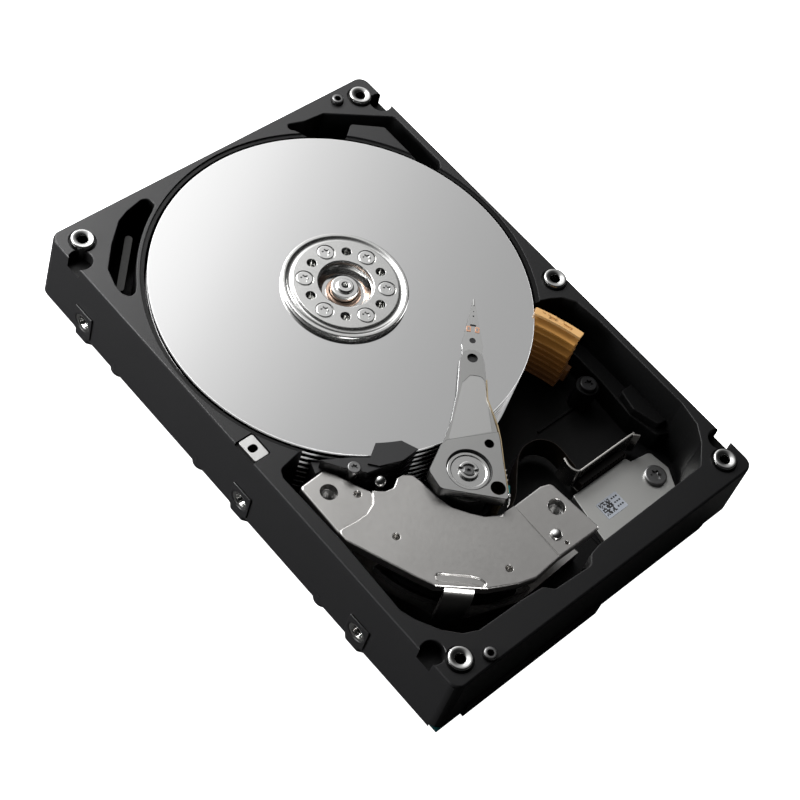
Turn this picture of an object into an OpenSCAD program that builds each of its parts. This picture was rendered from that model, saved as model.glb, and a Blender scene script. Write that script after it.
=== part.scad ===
// 3.5 inch hard disk drive with its top cover taken off.
// +Z is up, -Y is the connector end, and the origin is under the middle of the case.

/* [Case] */
// Width over the side mounting pads
case_w = 101.6; // [101.4:0.1:101.8]
// Length from the connector end to the platter end
case_l = 147; // [146.8:0.1:147.2]
// Height of the rim that the top cover seals on
rim_z = 22.8; // [22.7:0.1:23]
// Height of the inside floor under the heads
floor_z = 4.2; // [4:0.1:4.2]
// Height of the side mounting holes
side_hole_z = 6.35; // [6.2:0.05:6.5]
// Clear radius of the well around the platters
well_r = 48.2; // [48:0.1:48.4]

/* [Platters] */
// Distance of the spindle from the middle of the case
spindle_y = 22; // [21.8:0.1:22.2]
// Number of platters
platter_count = 9; // [9:1:9]
// Outer radius of a platter
platter_r = 47.5; // [47:0.1:47.6]
// Radius of the platter bore on the hub
platter_bore_r = 12.5; // [12.5:0.1:12.6]
// Thickness of a platter
platter_t = 0.7; // [0.6:0.05:0.75]
// Height from one platter to the next
platter_pitch = 2.05; // [2.05:0.01:2.05]
// Outer radius of the disk clamp
clamp_r = 15.7; // [15.5:0.1:15.8]

/* [Actuator] */
// Actuator pivot, sideways from the middle
pivot_x = -10.7; // [-10.8:0.1:-10.6]
// Actuator pivot, along the case from the middle
pivot_y = -34; // [-34.1:0.1:-33.9]
// Direction that the arms point in at rest, counted from +X
arm_angle = 45; // [43:0.5:47]
// Distance from the pivot to the lift tab's end
tab_reach = 50.4; // [50.2:0.1:50.6]
// Thickness of an actuator arm
arm_t = 0.8; // [0.7:0.05:0.85]
// Radius of the pivot bearing cartridge
cartridge_r = 5.25; // [5.2:0.05:5.3]

/* [Voice coil motor] */
// Height of the top plate's upper face
vcm_top_z = 21.1; // [21:0.1:21.2]
// Thickness of the top plate
yoke_t = 2.6; // [2.4:0.1:2.8]
// Thickness of a magnet
magnet_t = 2; // [1.8:0.1:2.2]
// Thickness of the voice coil
coil_t = 3; // [2.6:0.1:3.2]

/* [Electronics] */
// Height of the circuit board's underside
board_z = 1.9; // [1.8:0.1:2]
// Thickness of the circuit board
board_t = 1; // [0.8:0.1:1]
// Height of the flex cable ribbon
ribbon_h = 7; // [6:0.5:7]

/* [Fasteners] */
// Radius of a 6-32 mounting hole
mount_hole_r = 1.75; // [1.7:0.05:1.8]
// Depth of a side mounting hole
mount_hole_d = 4.5; // [4:0.1:5]
// Outer radius of a cover screw bushing
bushing_r = 2.9; // [2.8:0.1:3]
// Height of the bushings over the rim
bushing_up = 1; // [0.8:0.1:1]

/* [Hidden] */
$fn = 64;
eps = 0.01;

half_w = case_w / 2;
half_l = case_l / 2;
side_x = half_w - 0.4;
skirt_z = 1.1;

// Platter stack, counted down from the top platter
top_platter_z = rim_z - 0.1;
gap_h = platter_pitch - platter_t;
last_platter_z = top_platter_z - (platter_count - 1) * platter_pitch - platter_t;
arm_count = platter_count + 1;
hub_r = platter_bore_r - 0.02;
hub_top_z = top_platter_z + 0.5;
hub_flange_r = 15.5;
cup_r = 11.2;
cup_top_z = 17.4;
clamp_top_z = top_platter_z + 1.9;
clamp_pcd_r = 10.1;
spindle_shaft_r = 2;
sleeve_r = 4.35;

// Actuator levels
carriage_top_z = 24.6;
carriage_low_z = floor_z + 0.3;
flange_z = vcm_top_z + 0.2;
body_r = 7.2;
slider_reach = 47.2;

// Voice coil motor levels
yoke_low_z = 8.2;
coil_z = 12;
magnet_low_z = vcm_top_z - yoke_t - magnet_t;

// Cover screw positions, and the pad half way along the left side
cover_x = 44.5;
cover_y0 = -67.5;
cover_y1 = 67;
cover_holes = [
    [-cover_x, cover_y1], [cover_x, cover_y1], [cover_x, cover_y0], [-cover_x, cover_y0], [47, -5.2]
];
pad_x = -47.1;
pad_y = -0.8;
dowel_holes = [[38.3, 69], [-38.3, -70.6]];

// Mounting holes by the drive form factor, from the connector end
side_holes_y = [-half_l + 28.5, -half_l + 70.1, -half_l + 130.1];
bottom_holes_y = [-half_l + 41.28, -half_l + 85.73, -half_l + 117.48];
bottom_hole_x = 47.625;
bottom_hole_d = 3.4;
bottom_boss_r = 2.8;

// Circuit board
board_r = half_w - 0.7;
board_screws_at = [[-44, -66], [41, -22], [-36, -20], [34, -66]];
chip_x = [24, 36, -20];
chip_y = [-58, -42, -58];
chip_w = [13, 9, 8];
chip_t = 0.6;
socket_x0 = -41.6;
socket_x1 = 2.8;

// Header at the flex cable's fixed end
header_x0 = 18.4;
header_x1 = 38;
header_y = -46;
header_top_z = 12.4;
header_z = 5.4;
bracket_screw_at = [38.9, -56.8, 0];

// Screws of the ramp and the damper, and the height of the damper's boss
ramp_screw_at = [39.4, -29.5, 0];
damper_at = [-32.2, -18.1, 0];
damper_boss_z = 18.4;
damper_top_z = rim_z + 0.4;

// Points of an arc, by degrees
function arc(cx, cy, r, a0, a1, n) =
    [for (i = [0:n]) [cx + r * cos(a0 + (a1 - a0) * i / n), cy + r * sin(a0 + (a1 - a0) * i / n)]];

// Height of the middle of arm k, counted from the top
function arm_z(k) = top_platter_z + gap_h / 2 - k * platter_pitch;

// Up and down faces of a suspension in gap k; the top and bottom arms carry one each
function has_up_head(k) = k > 0;
function has_down_head(k) = k < platter_count;

// Moves a shape drawn with its arm along +X from the pivot to where the arm rests
module at_arm() {
    translate([pivot_x, pivot_y, 0]) rotate(arm_angle) children();
}

module at_spindle() {
    translate([0, spindle_y, 0]) children();
}

module slab(z0, z1) {
    translate([0, 0, z0]) linear_extrude(z1 - z0) children();
}

module disc(r, z0, z1) {
    translate([0, 0, z0]) cylinder(r = r, h = z1 - z0);
}

module ring(r_out, r_in, z0, z1) {
    difference() {
        disc(r_out, z0, z1);
        disc(r_in, z0 - 1, z1 + 1);
    }
}

// Rectangle with round corners
module round_rect(x0, x1, y0, y1, r) {
    polygon(concat(
        arc(x1 - r, y1 - r, r, 0, 90, 6),
        arc(x0 + r, y1 - r, r, 90, 180, 6),
        arc(x0 + r, y0 + r, r, 180, 270, 6),
        arc(x1 - r, y0 + r, r, 270, 360, 6)));
}

// ---- Base casting ----

// Bay for the actuator and its motor, open to the platter well
bay_outline = [
    [-36, -7], [-45.8, -8.6], [-46.8, -10.6], [-46.4, -30], [-47.1, -51], [-45.9, -54.5],
    [-42.9, -59.8], [-39.6, -63.2], [-36, -64.8], [-23, -65.1], [-16.6, -65.6],
    [-14.6, -67.7], [-3.4, -68.3], [-1.2, -66.2], [2, -65.6], [26, -65.3], [38.4, -65.1],
    [43.6, -60.6], [46.6, -56.4], [47.9, -50], [48, -21], [47.2, -13.4], [45, -10.4],
    [42, -8.8], [38.6, -7.6], [36, -7.4]
];

// Channel that leads air round the back right corner
channel_outline = concat(
    arc(22.5, 68.4, 1.2, 110, 250, 6),
    [[24.6, 62.4], [31.9, 58.1], [36.2, 61.2], [43.3, 55.7], [43.3, 42.6], [46, 36.5], [48, 39.5]],
    arc(46.2, 56, 1.8, 0, 55, 4),
    [[32.4, 67.6], [26.4, 68.1]]);

// Crescent pocket for the air filter
filter_r = 50.1;
filter_outline = concat(
    arc(0, spindle_y, filter_r, 120, 146, 12),
    [[-43.2, 48.2], [-44.9, 47.9], [-45.9, 49.6], [-45.8, 52.4], [-44.4, 57], [-39.3, 62.4], [-33.5, 67.2]],
    [[-30, 68.6], [-25, 69.6], [-23.4, 69], [-23, 66.8]]);

module drafted_block() {
    hull() {
        slab(skirt_z, skirt_z + eps)
            round_rect(-side_x, side_x, -half_l + 0.4, half_l, 2.6);
        slab(rim_z - eps, rim_z)
            round_rect(-side_x + 0.27, side_x - 0.27, -half_l + 0.75, half_l - 1, 2.6);
    }
}

// Boss around a side mounting hole, with its bottom on the mounting plane
module side_boss(side, y) {
    translate([0, y, 0]) rotate(side > 0 ? 0 : 180) {
        slab(0, 3)
            polygon([
                [half_w - 6, -3.8], [half_w - 1.2, -3.4], [half_w, -2], [half_w, 2],
                [half_w - 1.2, 3.4], [half_w - 6, 3.8]]);
        translate([half_w - 3, -3.2, 2]) cube([3, 6.4, 8.6]);
    }
}

module base_casting() {
    color([0.2, 0.2, 0.21])
    difference() {
        union() {
            drafted_block();
            for (side = [-1, 1], y = side_holes_y) side_boss(side, y);
            for (x = [-bottom_hole_x, bottom_hole_x], y = bottom_holes_y)
                translate([x, y, 0]) disc(bottom_boss_r, 0, 4);
        }
        difference() {
            union() {
                at_spindle() disc(well_r, floor_z, rim_z + 1);
                slab(floor_z, rim_z + 1) polygon(bay_outline);
            }
            // Seats cast into the bay: ledge, ribs and the header shelf
            slab(0, 11)
                polygon([[44, -10], [49, -10], [49, -52], [44.6, -50], [43, -42], [44, -30]]);
            slab(0, 13.5)
                polygon([[44.4, -36], [49, -36], [49, -49], [45.4, -48.6], [43.2, -41.6]]);
            slab(0, header_z - 1)
                polygon([[14, -49], [48, -50], [48, -68], [14, -68]]);
            translate(bracket_screw_at) disc(4.6, 0, header_z);
            translate(damper_at) disc(2.8, 0, damper_boss_z);
            translate(ramp_screw_at) disc(3, 0, 12);
        }
        slab(6, rim_z + 1) polygon(channel_outline);
        slab(6, rim_z + 1) polygon(filter_outline);
        // Half round notches with a slot through the side wall
        for (side = [-1, 1], end = [-1, 1]) {
            translate([side * 48.2, end * 62.7, 0]) disc(2.9, rim_z - 3.4, rim_z + 1);
            translate([side * 50.2, end * 62.7, rim_z - 1])
                cube([4, 3.4, 4], center = true);
        }
        // Bores
        at_spindle() disc(13.6, -1, floor_z + 1);
        translate([pivot_x, pivot_y, 0]) disc(3.2, -1, floor_z + 1);
        for (p = cover_holes) translate(p) disc(bushing_r, rim_z - 7, rim_z + 1);
        for (p = dowel_holes) translate(p) disc(1.6, rim_z - 5, rim_z + 1);
        translate([pad_x, pad_y, 0]) disc(1.25, rim_z - 6, rim_z + 1);
        translate([pad_x - 4, pad_y - 3, rim_z - 0.8]) cube([6.2, 6.4, 2]);
        for (y = side_holes_y, side = [-1, 1])
            translate([side * (half_w + 1), y, side_hole_z])
                rotate([0, -side * 90, 0]) cylinder(r = mount_hole_r + 0.75, h = mount_hole_d + 1);
        for (x = [-bottom_hole_x, bottom_hole_x], y = bottom_holes_y)
            translate([x, y, 0]) disc(mount_hole_r, -1, bottom_hole_d);
        // Recess for the circuit board, and pockets for its chips
        slab(-1, board_z + board_t + 0.1) board_outline(0.25);
        for (i = [0:2])
            translate([chip_x[i], chip_y[i], 3.3])
                cube([chip_w[i] + 1, chip_w[i] + 1, 0.7], center = true);
        translate([socket_x0 - 0.3, -half_l - 1, -1])
            cube([socket_x1 - socket_x0 + 0.6, 6.8, 6.8]);
        for (p = board_screws_at) translate(p) disc(1.2, 0, board_z + board_t + 1);
        // Corners of the underside cut back at the connector end
        translate([40.6, -half_l - 1, -1]) cube([12, 3, 5.2]);
        translate(bracket_screw_at) disc(1.2, 3.2, header_z + 1);
        translate(damper_at) disc(1.2, 14, 21);
        translate(ramp_screw_at) disc(1.05, 6, 13);
    }
}

// Bright threaded bushings that take the cover screws
module cover_bushings() {
    color([0.85, 0.85, 0.86])
    for (p = cover_holes)
        translate(p)
            difference() {
                disc(bushing_r, rim_z - 7, rim_z + bushing_up);
                disc(1.25, rim_z - 8, rim_z + 2);
                translate([0, 0, rim_z + bushing_up - 0.5]) cylinder(r1 = 1.25, r2 = 1.76, h = 0.51);
            }
}

// Threaded steel inserts in the side mounting holes
module side_inserts() {
    color([0.72, 0.72, 0.73])
    for (side = [-1, 1], y = side_holes_y)
        translate([side * (half_w - 0.2), y, side_hole_z])
            rotate([0, -side * 90, 0])
                ring(mount_hole_r + 0.75, mount_hole_r, 0, mount_hole_d - 0.2);
}

module locating_dowels() {
    color([0.82, 0.82, 0.83])
    for (p = dowel_holes) translate(p) ring(1.6, 0.75, rim_z - 5, rim_z + 1.1);
}

// Spring steel clip that grounds the cover on the milled pad
module ground_clip() {
    color([0.8, 0.8, 0.8])
    difference() {
        translate([pad_x - 1.9, pad_y - 2.9, rim_z - 0.8]) cube([3.9, 6.2, 0.5]);
        translate([pad_x, pad_y, 0]) disc(1.5, rim_z - 2, rim_z + 1);
    }
}

// ---- Spindle motor and platters ----

module platters() {
    color([0.85, 0.86, 0.87])
    at_spindle()
        for (i = [0:platter_count - 1]) {
            top = top_platter_z - i * platter_pitch;
            ring(platter_r, platter_bore_r, top - platter_t, top);
        }
}

module spacer_rings() {
    color([0.75, 0.75, 0.76])
    at_spindle()
        for (i = [1:platter_count - 1]) {
            low = top_platter_z - i * platter_pitch;
            ring(hub_flange_r, platter_bore_r, low, low + gap_h);
        }
}

module disk_clamp() {
    step_r = 13.9;
    color([0.8, 0.8, 0.81])
    at_spindle()
        difference() {
            union() {
                disc(step_r, hub_top_z, clamp_top_z);
                ring(clamp_r, step_r - eps, top_platter_z, clamp_top_z - 0.4);
                translate([0, 0, clamp_top_z - 0.4]) cylinder(r1 = clamp_r, r2 = clamp_r - 0.35, h = 0.2);
            }
            disc(6.75, hub_top_z - 1, clamp_top_z + 1);
            ring(14.5, 13.2, clamp_top_z - 0.7, clamp_top_z + 1);
            for (i = [0:5])
                rotate(18.3 + 60 * i) {
                    translate([clamp_pcd_r, 0, 0]) disc(1.05, hub_top_z - 1, clamp_top_z + 1);
                    translate([clamp_pcd_r, 0, 0]) disc(2.2, clamp_top_z - 0.8, clamp_top_z + 1);
                    rotate(30) translate([9.8, 0, 0]) disc(1.25, hub_top_z - 1, clamp_top_z + 1);
                }
        }
}

module clamp_screws() {
    color([0.88, 0.88, 0.89])
    at_spindle()
        for (i = [0:5])
            rotate(18.3 + 60 * i)
                translate([clamp_pcd_r, 0, 0])
                    difference() {
                        union() {
                            disc(2.15, clamp_top_z - 0.8, clamp_top_z + 0.05);
                            disc(1, hub_top_z - 4, clamp_top_z - 0.5);
                        }
                        translate([0, 0, clamp_top_z - 0.5]) cylinder(r = 0.95, h = 1, $fn = 6);
                    }
}

module spindle_hub() {
    color([0.78, 0.78, 0.79])
    at_spindle()
        difference() {
            union() {
                disc(hub_r, last_platter_z - 0.1, hub_top_z);
                disc(hub_flange_r, last_platter_z - 0.7, last_platter_z);
            }
            disc(cup_r, 0, cup_top_z);
            disc(sleeve_r, 0, hub_top_z + 1);
            translate([0, 0, hub_top_z - 2]) cylinder(r1 = 5.4, r2 = 6.75, h = 2.01);
            for (i = [0:5])
                rotate(18.3 + 60 * i)
                    translate([clamp_pcd_r, 0, 0]) disc(1, hub_top_z - 4.2, hub_top_z + 1);
        }
}

// Rotating sleeve of the fluid bearing
module bearing_sleeve() {
    color([0.72, 0.55, 0.4])
    at_spindle()
        difference() {
            disc(sleeve_r, 5, hub_top_z - 1.6);
            disc(spindle_shaft_r + 0.03, 4, hub_top_z + 1);
            disc(3.46, hub_top_z - 3, hub_top_z + 1);
        }
}

module rotor_magnet() {
    color([0.25, 0.25, 0.27])
    at_spindle() ring(cup_r, 10.2, 6.4, 11.6);
}

// Fixed shaft with the wide top that the cover ties down on
module spindle_shaft() {
    color([0.8, 0.8, 0.82])
    at_spindle()
        difference() {
            union() {
                disc(spindle_shaft_r, 1.6, 24);
                disc(3.4, hub_top_z - 2.9, 24);
            }
            disc(0.8, 18, 25);
        }
}

module motor_base() {
    color([0.6, 0.6, 0.61])
    at_spindle()
        difference() {
            union() {
                disc(13.6, 1.6, floor_z - 0.2);
                disc(5.6, 1.6, 10);
            }
            disc(spindle_shaft_r, 1, 4.7);
            disc(4.6, 4.7, 11);
        }
}

module stator_core() {
    tooth_count = 9;
    color([0.45, 0.45, 0.47])
    at_spindle() {
        ring(7, 5.6, 7.2, 9.6);
        for (i = [0:tooth_count - 1])
            rotate(i * 360 / tooth_count)
                translate([6.9, -0.7, 7.2]) cube([2.9, 1.4, 2.4]);
    }
}

module stator_coils() {
    tooth_count = 9;
    color([0.75, 0.4, 0.2])
    at_spindle()
        for (i = [0:tooth_count - 1])
            rotate(i * 360 / tooth_count)
                difference() {
                    translate([7.3, -1.2, 6.6]) cube([2, 2.4, 3.6]);
                    translate([7, -0.7, 7.2]) cube([3, 1.4, 2.4]);
                }
}

// ---- Actuator ----

// Outline of an arm from the pivot block to its round end
arm_outline = concat(
    [[3, 7.4], [6.4, 6.4], [13, 4.6], [21.4, 3.4]],
    [[31, 3.1], [33.6, 2.4], [34.6, 0.8], [34.6, -0.8], [33.6, -2.4], [31, -3.1]],
    [[21.4, -3.6], [13.2, -6.2], [9.8, -7], [3, -7]]);

// Top flange of the carriage, round the bearing
flange_outline = [
    [5.6, 6.9], [-2, 9.5], [-6.2, 6.5], [-6.4, -8.8], [-5.6, -9.4], [9.8, -7], [13.2, -6.2], [7.2, 5.6]
];

module carriage() {
    color([0.78, 0.79, 0.8])
    at_arm()
        difference() {
            union() {
                disc(body_r, carriage_low_z, flange_z + 1);
                slab(carriage_low_z, arm_z(0) + arm_t / 2)
                    polygon([[0, 7], [5.4, 6.4], [7.4, 4.8], [9.2, -0.5], [9.6, -6.9], [0, -7]]);
                slab(flange_z, carriage_top_z) polygon(flange_outline);
                for (k = [0:arm_count - 1])
                    slab(arm_z(k) - arm_t / 2, arm_z(k) + arm_t / 2) polygon(arm_outline);
            }
            disc(cartridge_r, 0, carriage_top_z + 1);
            translate([7.9, -4.5, 0]) disc(1.1, flange_z, carriage_top_z + 1);
            translate([-3.8, -6.9, 0]) disc(1.75, flange_z - 1, carriage_top_z + 1);
            // Holes that the load beams are swaged in
            translate([32.2, 0, 0]) disc(1.3, 0, carriage_top_z);
        }
}

module pivot_sleeve() {
    color([0.82, 0.82, 0.83])
    at_arm()
        difference() {
            disc(cartridge_r, carriage_low_z + 0.1, carriage_top_z - 0.1);
            disc(2.43, 0, 30);
            disc(4.2, carriage_top_z - 0.6, 30);
        }
}

module pivot_shaft() {
    color([0.75, 0.75, 0.76])
    at_arm()
        difference() {
            union() {
                disc(2.4, floor_z - 1, carriage_top_z + 0.2);
                disc(3.2, 3, floor_z + 0.2);
            }
            disc(1.3, 2, 30);
        }
}

module pivot_screw() {
    color([0.66, 0.66, 0.67])
    at_arm()
        difference() {
            union() {
                disc(1.28, 8, carriage_top_z + 0.3);
                disc(2.3, carriage_top_z + 0.2, carriage_top_z + 0.9);
            }
            translate([0, 0, carriage_top_z]) cylinder(r = 1.1, h = 2, $fn = 6);
        }
}

// One load beam: a swaged base plate, the tapered beam and its lift tab
beam_outline = [
    [29.6, 2.5], [35, 2.5], [36.2, 2.7], [41.1, 1.85], [48.2, 0.45], [tab_reach, 0.25],
    [tab_reach, -0.25], [48.2, -0.45], [41.1, -1.85], [36.2, -2.7], [35, -2.5], [29.6, -2.5]
];

module load_beams() {
    beam_t = 0.1;
    color([0.82, 0.82, 0.83])
    at_arm()
        for (k = [0:arm_count - 1], up = [0, 1])
            if (up == 1 ? has_up_head(k) : has_down_head(k)) {
                dir = up == 1 ? 1 : -1;
                face = arm_z(k) + dir * (arm_t / 2 + beam_t / 2);
                difference() {
                    slab(face - beam_t / 2, face + beam_t / 2) polygon(beam_outline);
                    translate([37.8, 0, 0]) disc(0.5, 0, 30);
                    translate([32.2, 0, 0]) disc(1, 0, 30);
                }
            }
}

module head_sliders() {
    slider_t = 0.14;
    color([0.22, 0.22, 0.24])
    at_arm()
        for (k = [0:arm_count - 1], up = [0, 1])
            if (up == 1 ? has_up_head(k) : has_down_head(k)) {
                dir = up == 1 ? 1 : -1;
                face = arm_z(k) + dir * (arm_t / 2 + 0.1 + slider_t / 2);
                translate([slider_reach, 0, face]) cube([1.2, 0.8, slider_t], center = true);
            }
}

// Pairs of piezo strips that trim each beam
module piezo_actuators() {
    color([0.8, 0.5, 0.35])
    at_arm()
        for (k = [0:arm_count - 1], up = [0, 1], side = [-1, 1])
            if (up == 1 ? has_up_head(k) : has_down_head(k)) {
                dir = up == 1 ? 1 : -1;
                face = arm_z(k) + dir * (arm_t / 2 + 0.1 + 0.06);
                translate([41.2, side * 1.06, face]) cube([1.3, 1, 0.12], center = true);
            }
}

// Fan shaped outline for the coil and the magnets, about the pivot
module fan(r0, r1, a) {
    polygon(concat(arc(0, 0, r1, 180 - a, 180 + a, 16), arc(0, 0, r0, 180 + a, 180 - a, 8)));
}

module voice_coil() {
    color([0.62, 0.33, 0.16])
    at_arm()
        slab(coil_z, coil_z + coil_t)
            difference() {
                fan(11.8, 26.2, 27);
                fan(15.4, 22.6, 17);
            }
}

// Moulded frame that holds the coil on the back of the carriage
module coil_frame() {
    color([0.16, 0.14, 0.12])
    at_arm() {
        slab(coil_z, coil_z + coil_t - 0.1) {
            difference() {
                fan(8, 27.6, 31);
                fan(11.8, 26.2, 27);
            }
            fan(15.4, 22.6, 17);
            // Finger that meets the crash stop when the heads are parked
            polygon(concat(arc(0, 0, 22.4, 136.6, 149.2, 4), arc(0, 0, 18.4, 149.2, 136.6, 4)));
            difference() {
                circle(r = 8.2);
                circle(r = body_r);
                translate([-1.5, -10]) square([14, 20]);
            }
        }
        // Web under the coil that carries its middle
        slab(coil_z - 0.5, coil_z) fan(11, 27, 6);
    }
}

// Thin circuit along the side of the arms that the flex cable joins
module arm_circuit() {
    color([0.6, 0.5, 0.25])
    at_arm()
        slab(carriage_low_z + 1.2, flange_z - 0.2)
            polygon([
                [9.4, -7.05], [9.4, -7.3], [-1, -8.5], [-4.5, -9.25], [-4.5, -9], [-1, -8.25], [2.4, -7.4]]);
}

// ---- Flex cable and its bracket ----

// Route of the ribbon from the carriage, round its loop, to the bracket
ribbon_route = [
    [-7.1, -43.9], [-3.5, -44.2], [0.6, -42.6], [3.8, -39.8], [6.5, -37.2], [9.9, -34.4], [13.3, -33.3],
    [17, -33.9], [19.4, -36.4], [19.9, -39.5], [19.6, -42.7], [19.4, -44.8]
];
ribbon_t = 0.2;
ribbon_z = 5.6;

function ribbon_dir(i) =
    let (n = len(ribbon_route) - 1,
         d = ribbon_route[min(i + 1, n)] - ribbon_route[max(i - 1, 0)])
    d / norm(d);

function ribbon_side(s) =
    [for (i = [0:len(ribbon_route) - 1])
        ribbon_route[i] + s * ribbon_t / 2 * [-ribbon_dir(i)[1], ribbon_dir(i)[0]]];

module flex_cable() {
    left = ribbon_side(1);
    right = ribbon_side(-1);
    n = len(left);
    color([0.2, 0.15, 0.12])
    slab(ribbon_z, ribbon_z + ribbon_h)
        polygon(concat(left, [for (i = [0:n - 1]) right[n - 1 - i]]));
}

module flex_bracket() {
    wall_t = 0.6;
    color([0.78, 0.77, 0.74])
    difference() {
        union() {
            translate([header_x0 + 1, header_y - wall_t, header_z])
                cube([header_x1 - header_x0 - 1, wall_t, header_top_z - header_z]);
            slab(header_z, header_top_z)
                polygon([
                    [header_x0 + 1, header_y], [header_x0 + 0.2, header_y + 1.6],
                    [header_x0 + 0.7, header_y + 4.6],
                    [header_x0 + 0.1, header_y + 4.6], [header_x0 - 0.4, header_y + 1.6],
                    [header_x0 + 0.6, header_y - wall_t], [header_x0 + 1.1, header_y - wall_t]]);
            slab(header_z, header_top_z)
                polygon([
                    [header_x1 - 0.01, header_y], [header_x1 + 2, header_y - 1.5],
                    [header_x1 + 2, header_y - 2.2],
                    [header_x1 - 0.01, header_y - wall_t]]);
            // Foot that runs under the header
            translate([header_x0 + 1, header_y - 2.4, header_z - 0.9])
                cube([header_x1 - header_x0 - 1, 2.4, 0.9]);
        }
        translate([header_x0 + 4, header_y - 2, header_z - 3]) disc(0.6, 0, 5);
    }
}

// Plug block where the ribbon meets the circuit board
module flex_header() {
    color([0.22, 0.17, 0.1])
    translate([header_x0 + 1.4, header_y - 2.5, header_z])
        cube([header_x1 - header_x0 - 3.6, 1.8, 3]);
}

module header_plate() {
    color([0.8, 0.8, 0.8])
    difference() {
        union() {
            slab(header_z - 1, header_z + 0.6)
                polygon([[header_x0 - 1, -48.6], [36.4, -48.6], [37.4, -51.5], [34.4, -64], [14.6, -64]]);
            slab(header_z, header_z + 0.6)
                polygon([[36.2, -50], [43, -51], [43.8, -57], [41, -62.2], [33.6, -63.8], [33.2, -60]]);
        }
        translate(bracket_screw_at) disc(4.7, 0, header_z);
        translate(bracket_screw_at) disc(1.35, 0, 20);
    }
}

module header_label() {
    color([0.7, 0.73, 0.78])
    translate([20.2, -58.6, header_z + 0.6]) cube([7, 4.8, 0.08]);
}

module bracket_screw() {
    color([0.55, 0.55, 0.56])
    translate(bracket_screw_at)
        difference() {
            union() {
                disc(2.9, header_z + 0.6, header_z + 1.5);
                disc(1.15, 3.3, header_z + 1);
            }
            translate([0, 0, header_z + 1]) cylinder(r = 0.8, h = 1, $fn = 6);
        }
}

// ---- Voice coil motor ----

// Top plate outline: a tail over the left post, the arc over the magnets, and the right ear
top_plate_outline = [
    [-44.5, -13.8], [-36.8, -13.4], [-34.9, -16.2], [-33.2, -20.3], [-31.3, -24], [-28.7, -25.9],
    [-26.6, -26.3], [-24.2, -24.8], [-22.4, -25], [-20.6, -26.4], [-20.1, -28.6], [-19.7, -34],
    [-18.7, -38], [-16.2, -41.6], [-14, -44.2], [-10.9, -45.9], [-6.2, -46.1], [2.6, -45.9], [5.4, -46.8],
    [6.8, -62.2], [-6.8, -62.1], [-15.1, -62.8], [-19.4, -61.6], [-26.5, -58.2], [-35.8, -50.6],
    [-37.8, -46.6], [-44.8, -30.4], [-44.8, -27.4]
];
post_at = [[-39.6, -18.6], [1.9, -52.2]];
small_holes = [[-34.5, -22.8], [-34.7, -36.3], [-18.8, -57.4]];

module vcm_top_plate() {
    color([0.76, 0.75, 0.73])
    difference() {
        union() {
            slab(vcm_top_z - yoke_t, vcm_top_z) polygon(top_plate_outline);
            // Tab at the front that bends down to the bottom plate
            slab(vcm_top_z - 1.6, vcm_top_z)
                polygon([[-33.6, -52], [-28.6, -56.8], [-29.6, -58.6], [-34.9, -53.8]]);
            slab(yoke_low_z, vcm_top_z - 0.6)
                polygon([[-34, -53], [-28.9, -57.6], [-29.8, -59], [-35.1, -54.2]]);
        }
        for (p = post_at) translate(p) disc(2.1, 10, 30);
        for (p = small_holes) translate(p) disc(0.9, vcm_top_z - 1.5, 30);
        translate([-2.8, -60.4, 0]) disc(0.5, vcm_top_z - 1, 30);
        translate([-3.4, -57.4, 0]) disc(1.4, 10, 30);
    }
}

module vcm_bottom_plate() {
    color([0.7, 0.7, 0.69])
    difference() {
        slab(floor_z, yoke_low_z)
            polygon([
                [-43.8, -15], [-37.8, -15], [-35.6, -21.6], [-31, -27.4], [-20.9, -28.4], [-20.4, -34],
                [-19.3, -38.4], [-14.2, -44.8], [-10.9, -46.6], [4.6, -47], [5.8, -61], [-15, -62],
                [-28.6, -57.7], [-34.3, -52.7], [-37, -46.4], [-44.2, -30]]);
        for (p = post_at) translate(p) disc(1.6, 0, 30);
    }
}

module magnet(z0) {
    translate([pivot_x, pivot_y, 0])
        slab(z0, z0 + magnet_t)
            polygon(concat(arc(0, 0, 27.4, 184, 268, 20), arc(0, 0, 12.4, 262, 190, 12)));
}

module vcm_top_magnet() {
    color([0.5, 0.5, 0.52]) magnet(magnet_low_z);
}

module vcm_bottom_magnet() {
    color([0.5, 0.5, 0.52]) magnet(yoke_low_z);
}

// Hollow threaded posts that hold the two plates apart
module vcm_posts() {
    color([0.72, 0.72, 0.73])
    for (p = post_at) translate(p) ring(2.9, 1.6, yoke_low_z, vcm_top_z - yoke_t);
}

// Round headed pin that plugs into the top plate
module vcm_dome_pin() {
    color([0.85, 0.85, 0.86])
    translate([-3.4, -57.4, 0])
        intersection() {
            disc(1.38, vcm_top_z - yoke_t, vcm_top_z + 1);
            translate([0, 0, vcm_top_z - 2.4]) sphere(r = 3);
        }
}

module crash_stop_pin() {
    color([0.82, 0.82, 0.83])
    translate([-28.3, -23.4, 0]) {
        disc(1, floor_z, 20.6);
        translate([0, 0, 21.3]) sphere(r = 1.5);
    }
}

// ---- Ramp and damper ----

ramp_a0 = 12.5;
ramp_a1 = 28.2;
fin_t = 0.44;

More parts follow.
